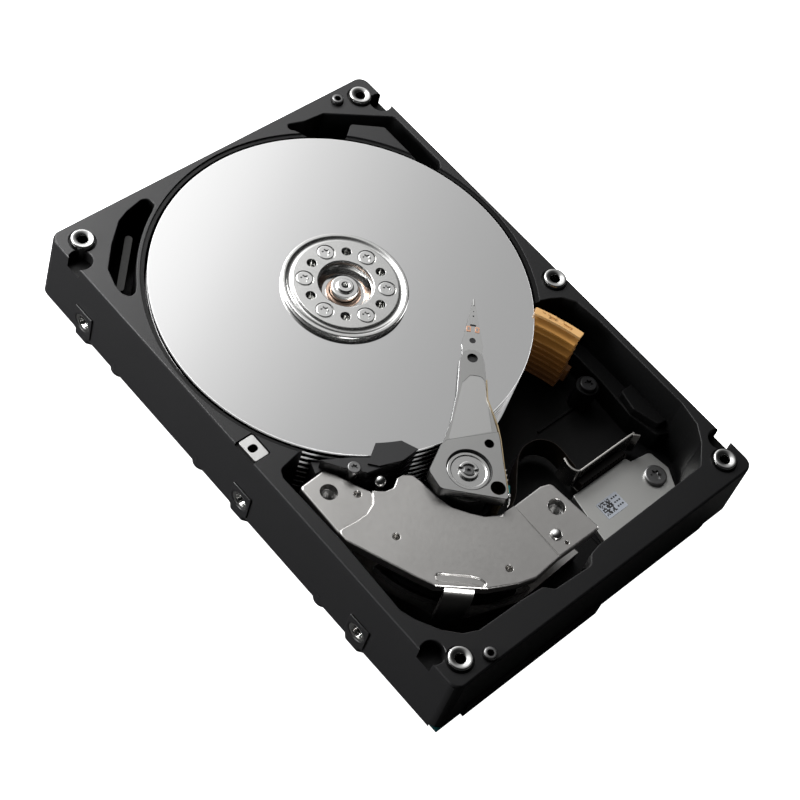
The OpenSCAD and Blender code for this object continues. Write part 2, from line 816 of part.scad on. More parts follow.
module load_ramp() {
    color([0.82, 0.6, 0.35])
    difference() {
        translate([pivot_x, pivot_y, 0]) {
            // Backbone outside the platters, and its step down towards the wall
            slab(floor_z + 0.2, rim_z + 1)
                polygon(concat(
                    arc(0, 0, 54.2, ramp_a0 + 1.5, ramp_a1, 8), arc(0, 0, 51.9, ramp_a1, ramp_a0, 8)));
            slab(floor_z + 0.2, rim_z - 0.4)
                polygon(concat(arc(0, 0, 54.2, ramp_a0, 18, 4), arc(0, 0, 47, 12.9, ramp_a0, 2)));
            // Tracks, one in every gap, that the lift tabs slide on
            for (k = [0:arm_count - 1])
                slab(arm_z(k) - fin_t / 2, arm_z(k) + fin_t / 2)
                    polygon(concat(
                        arc(0, 0, 53, ramp_a0 + 0.4, ramp_a1 - 0.4, 8),
                        arc(0, 0, 48.9, ramp_a1 - 0.2, ramp_a0 + 0.2, 8)));
        }
        // Slots that the platters turn in
        at_spindle()
            for (i = [0:platter_count - 1]) {
                top = top_platter_z - i * platter_pitch;
                disc(platter_r + 0.6, top - platter_t - 0.2, top + 0.2);
            }
    }
}

module ramp_screw() {
    color([0.4, 0.4, 0.41])
    translate(ramp_screw_at)
        difference() {
            union() {
                disc(2.2, 12, 13);
                disc(1, 7, 12.5);
            }
            translate([0, 0, 12.4]) cylinder(r = 0.8, h = 1, $fn = 6);
        }
}

// Comb of thin plates that calms the air between the platters
module disk_damper() {
    color([0.1, 0.1, 0.11])
    difference() {
        union() {
            slab(floor_z, 20)
                polygon([
                    [-37.5, -10], [-30.5, -15.6], [-27, -18], [-21.5, -21.6], [-21.5, -22.8],
                    [-25.8, -22.6], [-30.2, -21.4], [-34.6, -15.6], [-36.5, -13.1], [-38.6, -12.9]]);
            slab(20, damper_top_z)
                polygon([
                    [-37, -12], [-30.5, -15.6], [-27, -18], [-21.5, -21.6], [-21.5, -22.8],
                    [-26, -21.6], [-30.2, -20.6], [-34.4, -15.8], [-36.4, -13.1]]);
            for (k = [0:arm_count - 2])
                slab(arm_z(k) - 0.3, arm_z(k) + 0.3)
                    polygon(concat(
                        arc(0, spindle_y, 44.7, 238, 246, 4),
                        [[-16.4, -22.8], [-21.5, -23], [-27, -21], [-28.8, -19]]));
        }
        translate(damper_at) disc(3, 0, damper_boss_z);
        translate(damper_at) disc(1.25, 0, 30);
        translate([-28.3, -23.4, 0]) disc(1.9, 0, 30);
        // The body stays clear of the platters
        at_spindle()
            for (i = [0:platter_count - 1]) {
                top = top_platter_z - i * platter_pitch;
                disc(platter_r + 0.6, top - platter_t - 0.3, top + 0.3);
            }
        at_spindle() disc(44.5, 0, 30);
    }
}

module damper_screw() {
    color([0.7, 0.7, 0.71])
    translate(damper_at)
        difference() {
            union() {
                disc(1.9, damper_top_z, damper_top_z + 0.8);
                disc(1.15, 15, damper_top_z + 0.4);
            }
            translate([0, 0, damper_top_z + 0.3]) cylinder(r = 0.8, h = 1, $fn = 6);
        }
}

module air_filter() {
    color([0.75, 0.74, 0.7])
    hull() {
        translate([-33, 63.6, 6]) cylinder(r = 0.9, h = 13.4, $fn = 24);
        translate([-43.6, 53, 6]) cylinder(r = 0.9, h = 13.4, $fn = 24);
    }
}

// ---- Circuit board and connector ----

// Board outline, grown by a clearance
module board_outline(grow) {
    difference() {
        polygon([
            [-board_r - grow, -half_l + 0.5 - grow], [40.4 + grow, -half_l + 0.5 - grow],
            [42.2 + grow, -half_l + 3 - grow], [board_r - 3.5 + grow, -66], [board_r - 3.5 + grow, -52],
            [43.6 + grow, -50], [43.6 + grow, 1 + grow], [18, 1 + grow], [14, 8 + grow], [-18, 8 + grow],
            [-30, 2 + grow], [-43.6 - grow, 1 + grow], [-43.6 - grow, -50], [-board_r - grow, -52]]);
        translate([0, spindle_y]) circle(r = 14.4 - grow);
    }
}

module circuit_board() {
    color([0.1, 0.4, 0.42])
    difference() {
        slab(board_z, board_z + board_t) board_outline(0);
        for (p = board_screws_at) translate(p) disc(1.3, 0, 10);
    }
}

module board_chips() {
    color([0.12, 0.12, 0.13])
    for (i = [0:2])
        translate([chip_x[i], chip_y[i], board_z + board_t + chip_t / 2])
            cube([chip_w[i], chip_w[i], chip_t], center = true);
}

module board_screws() {
    color([0.6, 0.6, 0.62])
    for (p = board_screws_at)
        translate(p)
            difference() {
                union() {
                    disc(2.2, board_z - 0.7, board_z);
                    disc(1.15, board_z - 0.5, board_z + board_t + 0.9);
                }
                cylinder(r = 0.8, h = board_z - 0.3, $fn = 6);
            }
}

// SATA data and power plug at the connector end
module sata_connector() {
    z0 = 0.1;
    color([0.1, 0.1, 0.1])
    difference() {
        union() {
            translate([socket_x0, -half_l, z0]) cube([socket_x1 - socket_x0, 5.4, board_z - z0]);
            translate([socket_x0, -half_l, board_z - eps]) cube([socket_x1 - socket_x0, 0.45, 3.6]);
            translate([socket_x0, -half_l, board_z + board_t]) cube([socket_x1 - socket_x0, 5.4, 2.6]);
        }
        // Data and power recesses with their tongues left standing
        translate([socket_x0 + 3, -half_l - 1, 3.1]) cube([9.6, 4.6, 1.6]);
        translate([socket_x0 + 14.4, -half_l - 1, 3.1]) cube([26, 4.6, 1.6]);
    }
}

base_casting();
cover_bushings();
side_inserts();
locating_dowels();
ground_clip();
platters();
spacer_rings();
disk_clamp();
clamp_screws();
spindle_hub();
bearing_sleeve();
rotor_magnet();
spindle_shaft();
motor_base();
stator_core();
stator_coils();
carriage();
pivot_sleeve();
pivot_shaft();
pivot_screw();
load_beams();
head_sliders();
piezo_actuators();
voice_coil();
coil_frame();
arm_circuit();
flex_cable();
flex_bracket();
flex_header();
header_plate();
header_label();
bracket_screw();
vcm_top_plate();
vcm_bottom_plate();
vcm_top_magnet();
vcm_bottom_magnet();
vcm_posts();
vcm_dome_pin();
crash_stop_pin();
load_ramp();
ramp_screw();
disk_damper();
damper_screw();
air_filter();
circuit_board();
board_chips();
board_screws();
sata_connector();
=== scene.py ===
"""Looks for the opened 3.5 inch hard disk drive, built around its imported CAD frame."""
import math

import bmesh
import bpy
from mathutils import Matrix, Vector


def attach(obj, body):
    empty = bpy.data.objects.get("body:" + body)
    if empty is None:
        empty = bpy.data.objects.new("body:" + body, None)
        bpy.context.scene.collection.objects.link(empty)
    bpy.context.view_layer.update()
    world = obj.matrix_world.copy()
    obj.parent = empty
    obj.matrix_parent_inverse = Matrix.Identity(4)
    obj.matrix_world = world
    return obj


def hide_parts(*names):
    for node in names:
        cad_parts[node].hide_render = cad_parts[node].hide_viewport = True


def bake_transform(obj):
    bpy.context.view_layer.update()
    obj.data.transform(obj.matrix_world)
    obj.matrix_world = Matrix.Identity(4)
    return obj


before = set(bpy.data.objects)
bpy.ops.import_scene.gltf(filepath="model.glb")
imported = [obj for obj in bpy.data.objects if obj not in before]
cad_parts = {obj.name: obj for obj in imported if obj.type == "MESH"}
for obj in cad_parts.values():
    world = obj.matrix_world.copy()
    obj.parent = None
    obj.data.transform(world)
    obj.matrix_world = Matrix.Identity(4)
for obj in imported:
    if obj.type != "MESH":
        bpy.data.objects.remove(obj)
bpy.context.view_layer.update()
scene = bpy.context.scene
MM = 0.001

# ---- camera, floor and light

CAMERA_AT = Vector((-232.6, -141.31, 376.69)) * MM
CAMERA_TO = Vector((3.92, -1.51, 0.0)) * MM
CAMERA_ROLL = math.radians(21.215)
LENS_MM = 84.47


def make_camera():
    data = bpy.data.cameras.new("camera")
    data.lens = LENS_MM
    data.sensor_width = 36.0
    data.clip_start = 0.01
    data.clip_end = 20.0
    cam = bpy.data.objects.new("camera", data)
    scene.collection.objects.link(cam)
    forward = (CAMERA_TO - CAMERA_AT).normalized()
    level = forward.cross(Vector((0, 0, 1))).normalized()
    lift = level.cross(forward)
    right = level * math.cos(CAMERA_ROLL) + lift * math.sin(CAMERA_ROLL)
    up = right.cross(forward)
    cam.matrix_world = Matrix((
        (right.x, up.x, -forward.x, CAMERA_AT.x),
        (right.y, up.y, -forward.y, CAMERA_AT.y),
        (right.z, up.z, -forward.z, CAMERA_AT.z),
        (0, 0, 0, 1)))
    scene.camera = cam


def area_light(name, place, target, size, power, seen_by):
    """A square soft light. seen_by is the collection of what it lights."""
    data = bpy.data.lights.new(name, "AREA")
    data.shape = "RECTANGLE"
    data.size = data.size_y = size
    data.energy = power
    lamp = bpy.data.objects.new(name, data)
    lamp.location = place
    aim = Vector(target) - Vector(place)
    lamp.rotation_euler = aim.to_track_quat("-Z", "Y").to_euler()
    scene.collection.objects.link(lamp)
    lamp.light_linking.receiver_collection = seen_by


SKY_TOWARDS = (0.061, 0.875, 0.479)
SKY_STRENGTH = 1.2
SKY_STEPS = [
    (0.15, 0.012), (0.4, 0.05), (0.55, 0.2), (0.62, 0.40), (0.666, 0.437), (0.69, 0.49),
    (0.71, 0.564), (0.73, 0.674), (0.751, 0.82), (0.768, 0.99), (0.785, 1.115), (0.84, SKY_STRENGTH),
]


def add_node(tree, kind, **inputs):
    """A new shader node with its input values set."""
    node = tree.nodes.new("ShaderNode" + kind)
    for name, value in inputs.items():
        node.inputs[name.replace("_", " ")].default_value = value
    return node


def make_world():
    """Grey studio whose far side brightens, so that a flat mirror shades from side to side."""
    world = bpy.data.worlds.new("studio")
    world.use_nodes = True
    nt = world.node_tree
    nt.nodes.clear()
    out = add_node(nt, "OutputWorld")
    back = add_node(nt, "Background", Strength=SKY_STRENGTH)
    coord = add_node(nt, "TexCoord")
    towards = add_node(nt, "VectorMath")
    towards.operation = "DOT_PRODUCT"
    towards.inputs[1].default_value = SKY_TOWARDS
    low, high = SKY_STEPS[0][0], SKY_STEPS[-1][0]
    span = add_node(nt, "MapRange", From_Min=low, From_Max=high)
    ramp = add_node(nt, "ValToRGB")
    stops = ramp.color_ramp.elements
    while len(stops) < len(SKY_STEPS):
        stops.new(0.5)
    for stop, (at, value) in zip(stops, SKY_STEPS):
        stop.position = (at - low) / (high - low)
        stop.color = (value / SKY_STRENGTH, value / SKY_STRENGTH, value / SKY_STRENGTH, 1)
    nt.links.new(coord.outputs["Generated"], towards.inputs[0])
    nt.links.new(towards.outputs["Value"], span.inputs["Value"])
    nt.links.new(span.outputs["Result"], ramp.inputs["Fac"])
    nt.links.new(ramp.outputs["Color"], back.inputs["Color"])
    nt.links.new(back.outputs["Background"], out.inputs["Surface"])
    scene.world = world
    scene.view_settings.view_transform = "Standard"


def receivers(name, pieces, state="INCLUDE"):
    """A collection for light linking that takes the pieces in, or leaves them out."""
    group = bpy.data.collections.new(name)
    for piece in pieces:
        group.objects.link(bpy.data.objects[piece])
    for entry in group.collection_objects:
        entry.light_linking.link_state = state
    return group


def make_lights():
    """A key light from behind, soft cards that only the black case sees, and two that lift thin edges."""
    key_sees = receivers("key_spares", ("carriage_casting", "beams", "case"), "EXCLUDE")
    area_light("key", (0.055, 0.52, 0.55), (0, 0.05, 0), 0.35, 5, key_sees)
    case_sees = receivers("case_receivers", ("case", "inserts"))
    for name, place, size, power in (("case_right_back", (0.18, 0.28, 0.32), 0.25, 0.8),
                                     ("case_back", (-0.02, 0.25, 0.25), 0.2, 1.7),
                                     ("case_left", (-0.35, 0.2, 0.08), 0.2, 6)):
        area_light(name, place, (0, 0, 0.02), size, power, case_sees)
    edge_sees = receivers("edge_receivers", ("platter_stack", "motor_plate", "ramp_comb"))
    for name, place, power in (("edge_right", (0.3, -0.12, 0.12), 0.35),
                               ("edge_front", (-0.2, -0.35, 0.3), 1.4)):
        area_light(name, place, (0, -0.02, 0.02), 0.15, power, edge_sees)


FLOOR_HALF = 12.0


def floor_plane(name, z, colour, glow):
    s = FLOOR_HALF
    mesh = bpy.data.meshes.new(name)
    mesh.from_pydata([(-s, -s, 0), (s, -s, 0), (s, s, 0), (-s, s, 0)], [], [(0, 1, 2, 3)])
    floor = bpy.data.objects.new(name, mesh)
    floor.location.z = z
    scene.collection.objects.link(floor)
    m = bpy.data.materials.new(name)
    m.use_nodes = True
    shader = m.node_tree.nodes["Principled BSDF"]
    for socket, value in (("Base Color", (colour, colour, colour, 1)), ("Roughness", 0.9),
                          ("Specular IOR Level", 0.0), ("Emission Color", (1, 1, 1, 1)),
                          ("Emission Strength", glow)):
        shader.inputs[socket].default_value = value
    mesh.materials.append(m)
    return floor


def make_floor():
    """A white floor for the camera, and a greyer one under it that the object's sides see."""
    white = floor_plane("floor_white", -0.0002, 0.9, 1.4)
    white.visible_glossy = False
    white.visible_diffuse = False
    grey = floor_plane("floor_grey", -0.0006, 0.3, 0.0)
    grey.visible_camera = False


# ---- materials

def coloured_mix(nt, kind, **inputs):
    """A Mix node for colours."""
    mix = add_node(nt, "Mix")
    mix.data_type = "RGBA"
    mix.blend_type = kind
    for name, value in inputs.items():
        mix.inputs[name].default_value = value
    return mix


def metal(name, colour, rough, metallic, grain, grain_scale, spread=0.0, specular=0.5):
    """Principled material whose roughness, colour and bump vary with noise in object space."""
    m = bpy.data.materials.new(name)
    m.use_nodes = True
    nt = m.node_tree
    p = nt.nodes["Principled BSDF"]
    p.inputs["Metallic"].default_value = metallic
    p.inputs["Specular IOR Level"].default_value = specular
    coord = add_node(nt, "TexCoord")
    fine = add_node(nt, "TexNoise", Scale=grain_scale, Detail=4)
    wide = add_node(nt, "TexNoise", Scale=60, Detail=3)
    for noise in (fine, wide):
        nt.links.new(coord.outputs["Object"], noise.inputs["Vector"])
    mix = coloured_mix(nt, "MIX", A=tuple(c * (1 - spread) for c in colour) + (1,),
                       B=tuple(min(1, c * (1 + spread)) for c in colour) + (1,))
    nt.links.new(wide.outputs["Fac"], mix.inputs["Factor"])
    nt.links.new(mix.outputs["Result"], p.inputs["Base Color"])
    rough_map = add_node(nt, "MapRange", To_Min=rough * 0.85, To_Max=min(1, rough * 1.15))
    nt.links.new(fine.outputs["Fac"], rough_map.inputs["Value"])
    nt.links.new(rough_map.outputs["Result"], p.inputs["Roughness"])
    if grain > 0:
        bump = add_node(nt, "Bump", Strength=1.0, Distance=grain)
        nt.links.new(fine.outputs["Fac"], bump.inputs["Height"])
        nt.links.new(bump.outputs["Normal"], p.inputs["Normal"])
    return m


def painted_depth_shade(m, steps):
    """Darkens a material towards the bottom by height: painted shade between a resin part's lower tiers."""
    nt = m.node_tree
    p = nt.nodes["Principled BSDF"]
    low, high = steps[0][0], steps[-1][0]
    coord = add_node(nt, "TexCoord")
    split = add_node(nt, "SeparateXYZ")
    nt.links.new(coord.outputs["Object"], split.inputs["Vector"])
    span = add_node(nt, "MapRange", From_Min=low, From_Max=high)
    nt.links.new(split.outputs["Z"], span.inputs["Value"])
    ramp = add_node(nt, "ValToRGB")
    stops = ramp.color_ramp.elements
    for i, (z, colour) in enumerate(steps):
        at = (z - low) / (high - low)
        stop = stops[i] if i < 2 else stops.new(at)
        stop.position = at
        stop.color = (*colour, 1)
    nt.links.new(span.outputs["Result"], ramp.inputs["Fac"])
    blend = coloured_mix(nt, "MULTIPLY", Factor=0.25)
    nt.links.new(ramp.outputs["Color"], blend.inputs["A"])
    nt.links.new(p.inputs["Base Color"].links[0].from_socket, blend.inputs["B"])
    nt.links.new(blend.outputs["Result"], p.inputs["Base Color"])


M = {key: metal(*row) for key, row in {
    "casting": ("casting_ecoat", (0.005, 0.005, 0.0053), 0.4, 0, 4e-6, 4000, 0.1, 0.2),
    "casting_deep": ("casting_deep", (0.0015, 0.0015, 0.0016), 0.5, 0, 1e-5, 1500, 0.1, 0.1),
    "disk_edge": ("disk_edge", (0.9, 0.9, 0.9), 0.5, 0.4, 0, 800),
    "arm_side": ("arm_side", (0.07, 0.07, 0.07), 0.45, 1, 3e-6, 900, 0.1),
    "disk": ("disk_mirror", (0.86, 0.86, 0.86), 0.06, 1, 0, 800),
    "satin": ("satin_aluminium", (0.62, 0.62, 0.61), 0.3, 1, 1e-5, 3000, 0.03),
    "bright": ("bright_nickel", (0.78, 0.78, 0.77), 0.18, 1, 0, 2000, 0.03),
    "steel": ("brushed_steel", (0.5, 0.5, 0.49), 0.3, 1, 1e-5, 2500, 0.05),
    "dark_steel": ("dark_steel", (0.2, 0.2, 0.2), 0.35, 1, 1e-5, 2500, 0.05),
    "yoke": ("nickel_plate", (0.53, 0.52, 0.505), 0.3, 1, 8e-6, 1100, 0.16),
    "ramp": ("amber_resin", (0.55, 0.26, 0.07), 0.4, 0, 5e-6, 2000, 0.08),
    "black_resin": ("black_resin", (0.012, 0.012, 0.013), 0.5, 0, 1e-5, 2000, 0.1),
    "brown": ("brown_film", (0.014, 0.01, 0.007), 0.35, 0, 0, 2000, 0.15, 0.35),
    "copper": ("enamelled_copper", (0.45, 0.2, 0.08), 0.35, 0.9, 3e-5, 4000, 0.1),
    "board": ("board_lacquer", (0.01, 0.14, 0.15), 0.3, 0, 1e-5, 1500, 0.1),
    "fleece": ("filter_fleece", (0.03, 0.03, 0.029), 0.9, 0, 1e-4, 3000, 0.1),
    "black_steel": ("black_oxide", (0.02, 0.02, 0.021), 0.35, 0.6, 0, 2500, 0.1),
    "clamp": ("clamp_satin", (0.66, 0.66, 0.65), 0.26, 1, 4e-6, 5000, 0.02),
    "polished": ("polished_steel", (0.75, 0.75, 0.74), 0.12, 1, 0, 2000, 0.02),
    "turned": ("turned_steel", (0.7, 0.7, 0.69), 0.2, 1, 0, 3000, 0.03),
    "panel": ("milled_panel", (0.8, 0.8, 0.79), 0.34, 1, 3e-6, 5000, 0.02),
    "bronze": ("bearing_bronze", (0.38, 0.27, 0.21), 0.3, 1, 0, 2000, 0.05),
    "piezo": ("piezo_strip", (0.72, 0.4, 0.26), 0.4, 0.4, 0, 2000, 0.05),
    "bracket": ("bracket_steel", (0.62, 0.6, 0.57), 0.22, 1, 4e-6, 2500, 0.04),
    "plate": ("plate_steel", (0.66, 0.66, 0.64), 0.36, 1, 3e-6, 3500, 0.03),
    "film": ("tan_film", (0.4, 0.31, 0.18), 0.35, 0.1, 0, 2000, 0.15),
    "label": ("label_film", (0.42, 0.45, 0.5), 0.4, 0, 0, 2000, 0.05),
}.items()}
# Painted shade: the ramp's resin is darker towards the bottom and palest at the top.
painted_depth_shade(M["ramp"], ((0.006, (0.035, 0.014, 0.003)), (0.015, (0.13, 0.055, 0.01)),
                   (0.0215, (0.4, 0.205, 0.045)), (0.0228, (0.61, 0.39, 0.16))))

# The CAD nodes that stay as they are. Finer pieces replace the others.
CARRIED_OVER = {
    "spacer_rings": "satin", "rotor_magnet": "dark_steel", "motor_base": "steel",
    "stator_core": "dark_steel", "stator_coils": "copper", "voice_coil": "copper",
    "coil_frame": "black_resin", "vcm_bottom_plate": "yoke", "vcm_top_magnet": "dark_steel",
    "vcm_bottom_magnet": "dark_steel", "disk_damper": "black_resin", "air_filter": "fleece",
    "circuit_board": "board", "board_chips": "black_resin", "board_screws": "steel",
    "sata_connector": "black_resin",
}


def coat(obj, material):
    """Makes the material the only one on the object."""
    obj.data.materials.clear()
    obj.data.materials.append(M[material])


def tint(obj, material, test):
    """Gives the faces that pass the test another material."""
    obj.data.materials.append(M[material])
    index = len(obj.data.materials) - 1
    for face in obj.data.polygons:
        if test(face):
            face.material_index = index


# ---- mesh tools, all in millimetres

def turns_right(points):
    """Whether an outline runs clockwise."""
    return sum(points[i - 1][0] * p[1] - p[0] * points[i - 1][1] for i, p in enumerate(points)) < 0


def grown(points, d):
    """Moves every side of an anticlockwise outline outwards by d."""
    out = []
    count = len(points)
    for i, q in enumerate(points):
        p, r = Vector(points[i - 1]), Vector(points[(i + 1) % count])
        q = Vector(q)
        a, b = (q - p).normalized(), (r - q).normalized()
        na, nb = Vector((a.y, -a.x)), Vector((b.y, -b.x))
        move = (na + nb) * d / max(0.4, 1 + na.dot(nb))
        out.append((q.x + move.x, q.y + move.y))
    return untangled(points, out)


def crossing(p, q, r, s):
    """Where the line through p and q meets the line through r and s."""
    a, b = q - p, s - r
    cross = a.x * b.y - a.y * b.x
    if abs(cross) < 1e-9:
        return (q + r) / 2
    t = ((r.x - p.x) * b.y - (r.y - p.y) * b.x) / cross
    return p + a * t


def untangled(before, after):
    """Draws a moved outline's turned-over short sides together into one corner."""
    count = len(before)
    old, new = [Vector(p) for p in before], [Vector(p) for p in after]
    over = [(new[(i + 1) % count] - new[i]).dot(old[(i + 1) % count] - old[i]) <= 0 for i in range(count)]
    if not any(over) or all(over):
        return after
    start = next(i for i in range(count) if not over[i])
    k = 0
    while k < count:
        i = (start + k) % count
        if not over[i]:
            k += 1
            continue
        run = 1
        while over[(i + run) % count]:
            run += 1
        corner = crossing(new[i - 1], new[i], new[(i + run) % count], new[(i + run + 1) % count])
        for j in range(run + 1):
            new[(i + j) % count] = corner.copy()
        k += run
    return [(p.x, p.y) for p in new]


def rounded(points, radius, steps=5):
    """Rounds the corners of an outline. radius is one number, or one for each point."""
    points = list(points)
    radii = radius if isinstance(radius, (list, tuple)) else [radius] * len(points)
    if turns_right(points):
        points.reverse()
        radii = list(reversed(radii))
    out = []
    count = len(points)
    for i, (q, r) in enumerate(zip(points, radii)):
        q, p, s = Vector(q), Vector(points[i - 1]), Vector(points[(i + 1) % count])
        a, b = p - q, s - q
        half = a.angle(b) / 2
        if r <= 0 or half > math.radians(87):
            out.append((q.x, q.y))
            continue
        cut = min(r / math.tan(half), 0.47 * a.length, 0.47 * b.length)
        a.normalize()
        b.normalize()
        real = cut * math.tan(half)
        middle = q + (a + b).normalized() * (real / math.sin(half))
        start, end = q + a * cut - middle, q + b * cut - middle
        turn = start.angle_signed(end)
        for k in range(steps + 1):
            v = start.copy()
            v.rotate(Matrix.Rotation(-turn * k / steps, 2))
            out.append((middle.x + v.x, middle.y + v.y))
    return out


def polar(x, y, r, degrees):
    """The point at a radius and an angle from x, y."""
    return x + r * math.cos(math.radians(degrees)), y + r * math.sin(math.radians(degrees))


def circle(x, y, r, count=64):
    return [(x + r * math.cos(2 * math.pi * i / count), y + r * math.sin(2 * math.pi * i / count))
            for i in range(count)]


def arc(x, y, r, a0, a1, count):
    return [polar(x, y, r, a0 + (a1 - a0) * i / count) for i in range(count + 1)]


# How far a cutting tool goes on above its flared edge
FLARE_RISE = 3


def levels(points, z0, z1, low=0.0, high=0.0, flare=0.0, steps=3):
    """Loops of a block from z0 to z1: low and high round its edges inwards, flare opens it out at z1."""
    loops = []

    def add(z, d):
        loops.append([(x, y, z) for x, y in (grown(points, d) if abs(d) > 1e-6 else points)])

    turns = [k / steps * math.pi / 2 for k in range(steps + 1)]
    if low > 0:
        for a in turns[:-1]:
            add(z0 + low * (1 - math.cos(a)), -low * (1 - math.sin(a)))
    add(z0 + low, 0)
    if high > 0 or flare > 0:
        size, way = (high, -1) if high > 0 else (flare, 1)
        for a in turns:
            add(z1 - size * (1 - math.sin(a)), way * size * (1 - math.cos(a)))
        if flare > 0:
            add(z1 + FLARE_RISE, flare)
    else:
        add(z1, 0)
    return loops


def loft(bm, loops, close=False):
    """Skins closed loops of one length; the first and last are capped unless close joins them."""
    rings = [[bm.verts.new((x * MM, y * MM, z * MM)) for x, y, z in loop] for loop in loops]
    pairs = list(zip(rings, rings[1:])) + ([(rings[-1], rings[0])] if close else [])
    count = len(rings[0])
    for a, b in pairs:
        for i in range(count):
            j = (i + 1) % count
            bm.faces.new((a[i], a[j], b[j], b[i]))
    if not close:
        bm.faces.new(list(reversed(rings[0])))
        bm.faces.new(rings[-1])


def raw(bm, turn_out=False):
    """A scratch object from a bmesh, which it frees. turn_out makes its faces point outwards."""
    if turn_out:
        bmesh.ops.recalc_face_normals(bm, faces=bm.faces)
    mesh = bpy.data.meshes.new("scratch")
    bm.to_mesh(mesh)
    bm.free()
    obj = bpy.data.objects.new("scratch", mesh)
    scene.collection.objects.link(obj)
    return obj


def block(points, z0, z1, **edges):
    """An upright block from z0 to z1; levels says how its edges are shaped."""
    bm = bmesh.new()
    loft(bm, levels(points[::-1] if turns_right(points) else points, z0, z1, **edges))
    bmesh.ops.remove_doubles(bm, verts=bm.verts, dist=0.0004 * MM)
    return raw(bm)


def plug(x, y, r, count, z0, z1, **edges):
    """An upright round block."""
    return block(circle(x, y, r, count), z0, z1, **edges)


def slab(points, radius, corner_steps, z0, z1, **edges):
    """An upright block with rounded corners."""
    return block(rounded(points, radius, corner_steps), z0, z1, **edges)


def lathe(profile, x=0.0, y=0.0, count=96):
    """Solid of revolution about a vertical axis from an (r, z) outline that may touch the axis."""
    bm = bmesh.new()
    spun = []
    for r, z in profile:
        if r < 1e-6:
            spun.append([bm.verts.new((x * MM, y * MM, z * MM))] * count)
        else:
            spun.append([bm.verts.new(((x + r * math.cos(2 * math.pi * i / count)) * MM,
                                       (y + r * math.sin(2 * math.pi * i / count)) * MM, z * MM))
                         for i in range(count)])
    for k, low in enumerate(spun):
        high = spun[(k + 1) % len(spun)]
        for i in range(count):
            j = (i + 1) % count
            corners = []
            for v in (low[i], low[j], high[j], high[i]):
                if v not in corners:
                    corners.append(v)
            if len(corners) > 2:
                bm.faces.new(corners)
    return raw(bm, turn_out=True)


def settle(obj):
    """Applies the object's modifiers to its mesh."""
    graph = bpy.context.evaluated_depsgraph_get()
    mesh = bpy.data.meshes.new_from_object(obj.evaluated_get(graph))
    obj.modifiers.clear()
    old = obj.data
    obj.data = mesh
    bpy.data.meshes.remove(old)


def discard(obj):
    """Removes an object and its mesh."""
    data = obj.data
    bpy.data.objects.remove(obj)
    bpy.data.meshes.remove(data)


def combine(obj, tools, operation="DIFFERENCE"):
    """Cuts the tools from the object, or joins them to it, and throws them away."""
    for tool in tools:
        mod = obj.modifiers.new("step", "BOOLEAN")
        mod.operation = operation
        mod.solver = "MANIFOLD"
        mod.object = tool
    settle(obj)
    for tool in tools:
        discard(tool)
    return obj


def merged(parts):
    """One object with the meshes of several that don't touch."""
    bm = bmesh.new()
    for part in parts:
        bm.from_mesh(part.data)
        discard(part)
    return raw(bm)


def place(obj, matrix):
    obj.data.transform(matrix)
    return obj


def about(x, y, degrees):
    """Turns by degrees about the vertical through the origin, then moves to x, y."""
    return Matrix.Translation((x * MM, y * MM, 0)) @ Matrix.Rotation(math.radians(degrees), 4, "Z")


LEVEL_NORMAL = 0.9995


def flat_caps(mesh):
    """Shades level faces flat, so that a rounded edge beside one doesn't smear across it."""
    normals = [n.vector.copy() for n in mesh.corner_normals]
    for face in mesh.polygons:
        if abs(face.normal.z) > LEVEL_NORMAL:
            for k in face.loop_indices:
                normals[k] = face.normal.copy()
    mesh.normals_split_custom_set(normals)


def finish_piece(obj, name, body, material, node, slot, sharp=32, weighted=True):
    """Names a piece, gives it its material and shading, and rides it on its body in place of a node."""
    obj.name = name
    obj.data.name = name
    bm = bmesh.new()
    bm.from_mesh(obj.data)
    bmesh.ops.remove_doubles(bm, verts=bm.verts, dist=1e-7)
    bmesh.ops.dissolve_degenerate(bm, edges=bm.edges, dist=1e-7)
    bm.to_mesh(obj.data)
    bm.free()
    if not obj.data.materials or obj.data.materials[0] is None:
        coat(obj, material)
    obj.data.shade_smooth()
    obj.data.set_sharp_from_angle(angle=math.radians(sharp))
    if weighted:
        mod = obj.modifiers.new("weighted", "WEIGHTED_NORMAL")
        mod.keep_sharp = True
        mod.weight = 80
        settle(obj)
        flat_caps(obj.data)
    if body:
        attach(obj, body)
    if node:
        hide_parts(node)


# ---- the case

RIM = 22.8
FLOOR = 4.2
SPINDLE_Y = 22.0
PIVOT = (-10.7, -34.0)
WELL_R = 48.2
SIDE_HOLES_Y = (-45.0, -3.4, 56.6)
SIDE_HOLE_Z = 6.35
BOTTOM_HOLES = [(x, y) for x in (-47.625, 47.625) for y in (-32.22, 12.23, 43.98)]
COVER_SCREWS = [(-44.5, 67), (44.5, 67), (44.5, -67.5), (-44.5, -67.5), (47, -5.2)]
DOWELS = [(38.3, 69), (-38.3, -70.6)]
SIDE_PAD_X = 50.75
CLIP_SCREW = (-47.1, -0.8)
NOTCH = (48.2, 62.7)
CLIP_SEAT = RIM - 0.8
BRACKET_SCREW = (38.9, -56.8)
DAMPER_SCREW = (-32.2, -18.1)
RAMP_SCREW = (39.4, -29.5)
BAY = [
    (-36, -7), (-45.8, -8.6), (-46.8, -10.6), (-46.4, -30), (-47.1, -51), (-45.9, -54.5),
    (-42.9, -59.8), (-39.6, -63.2), (-36, -64.8), (-23, -65.1), (-16.6, -65.6), (-14.6, -67.7),
    (-3.4, -68.3), (-1.2, -66.2), (2, -65.6), (26, -65.3), (38.4, -65.1), (43.6, -60.6),
    (46.6, -56.4), (47.9, -50), (48, -21), (47.2, -13.4), (45, -10.4), (42, -8.8), (38.6, -7.6),
    (36, -7.4),
]
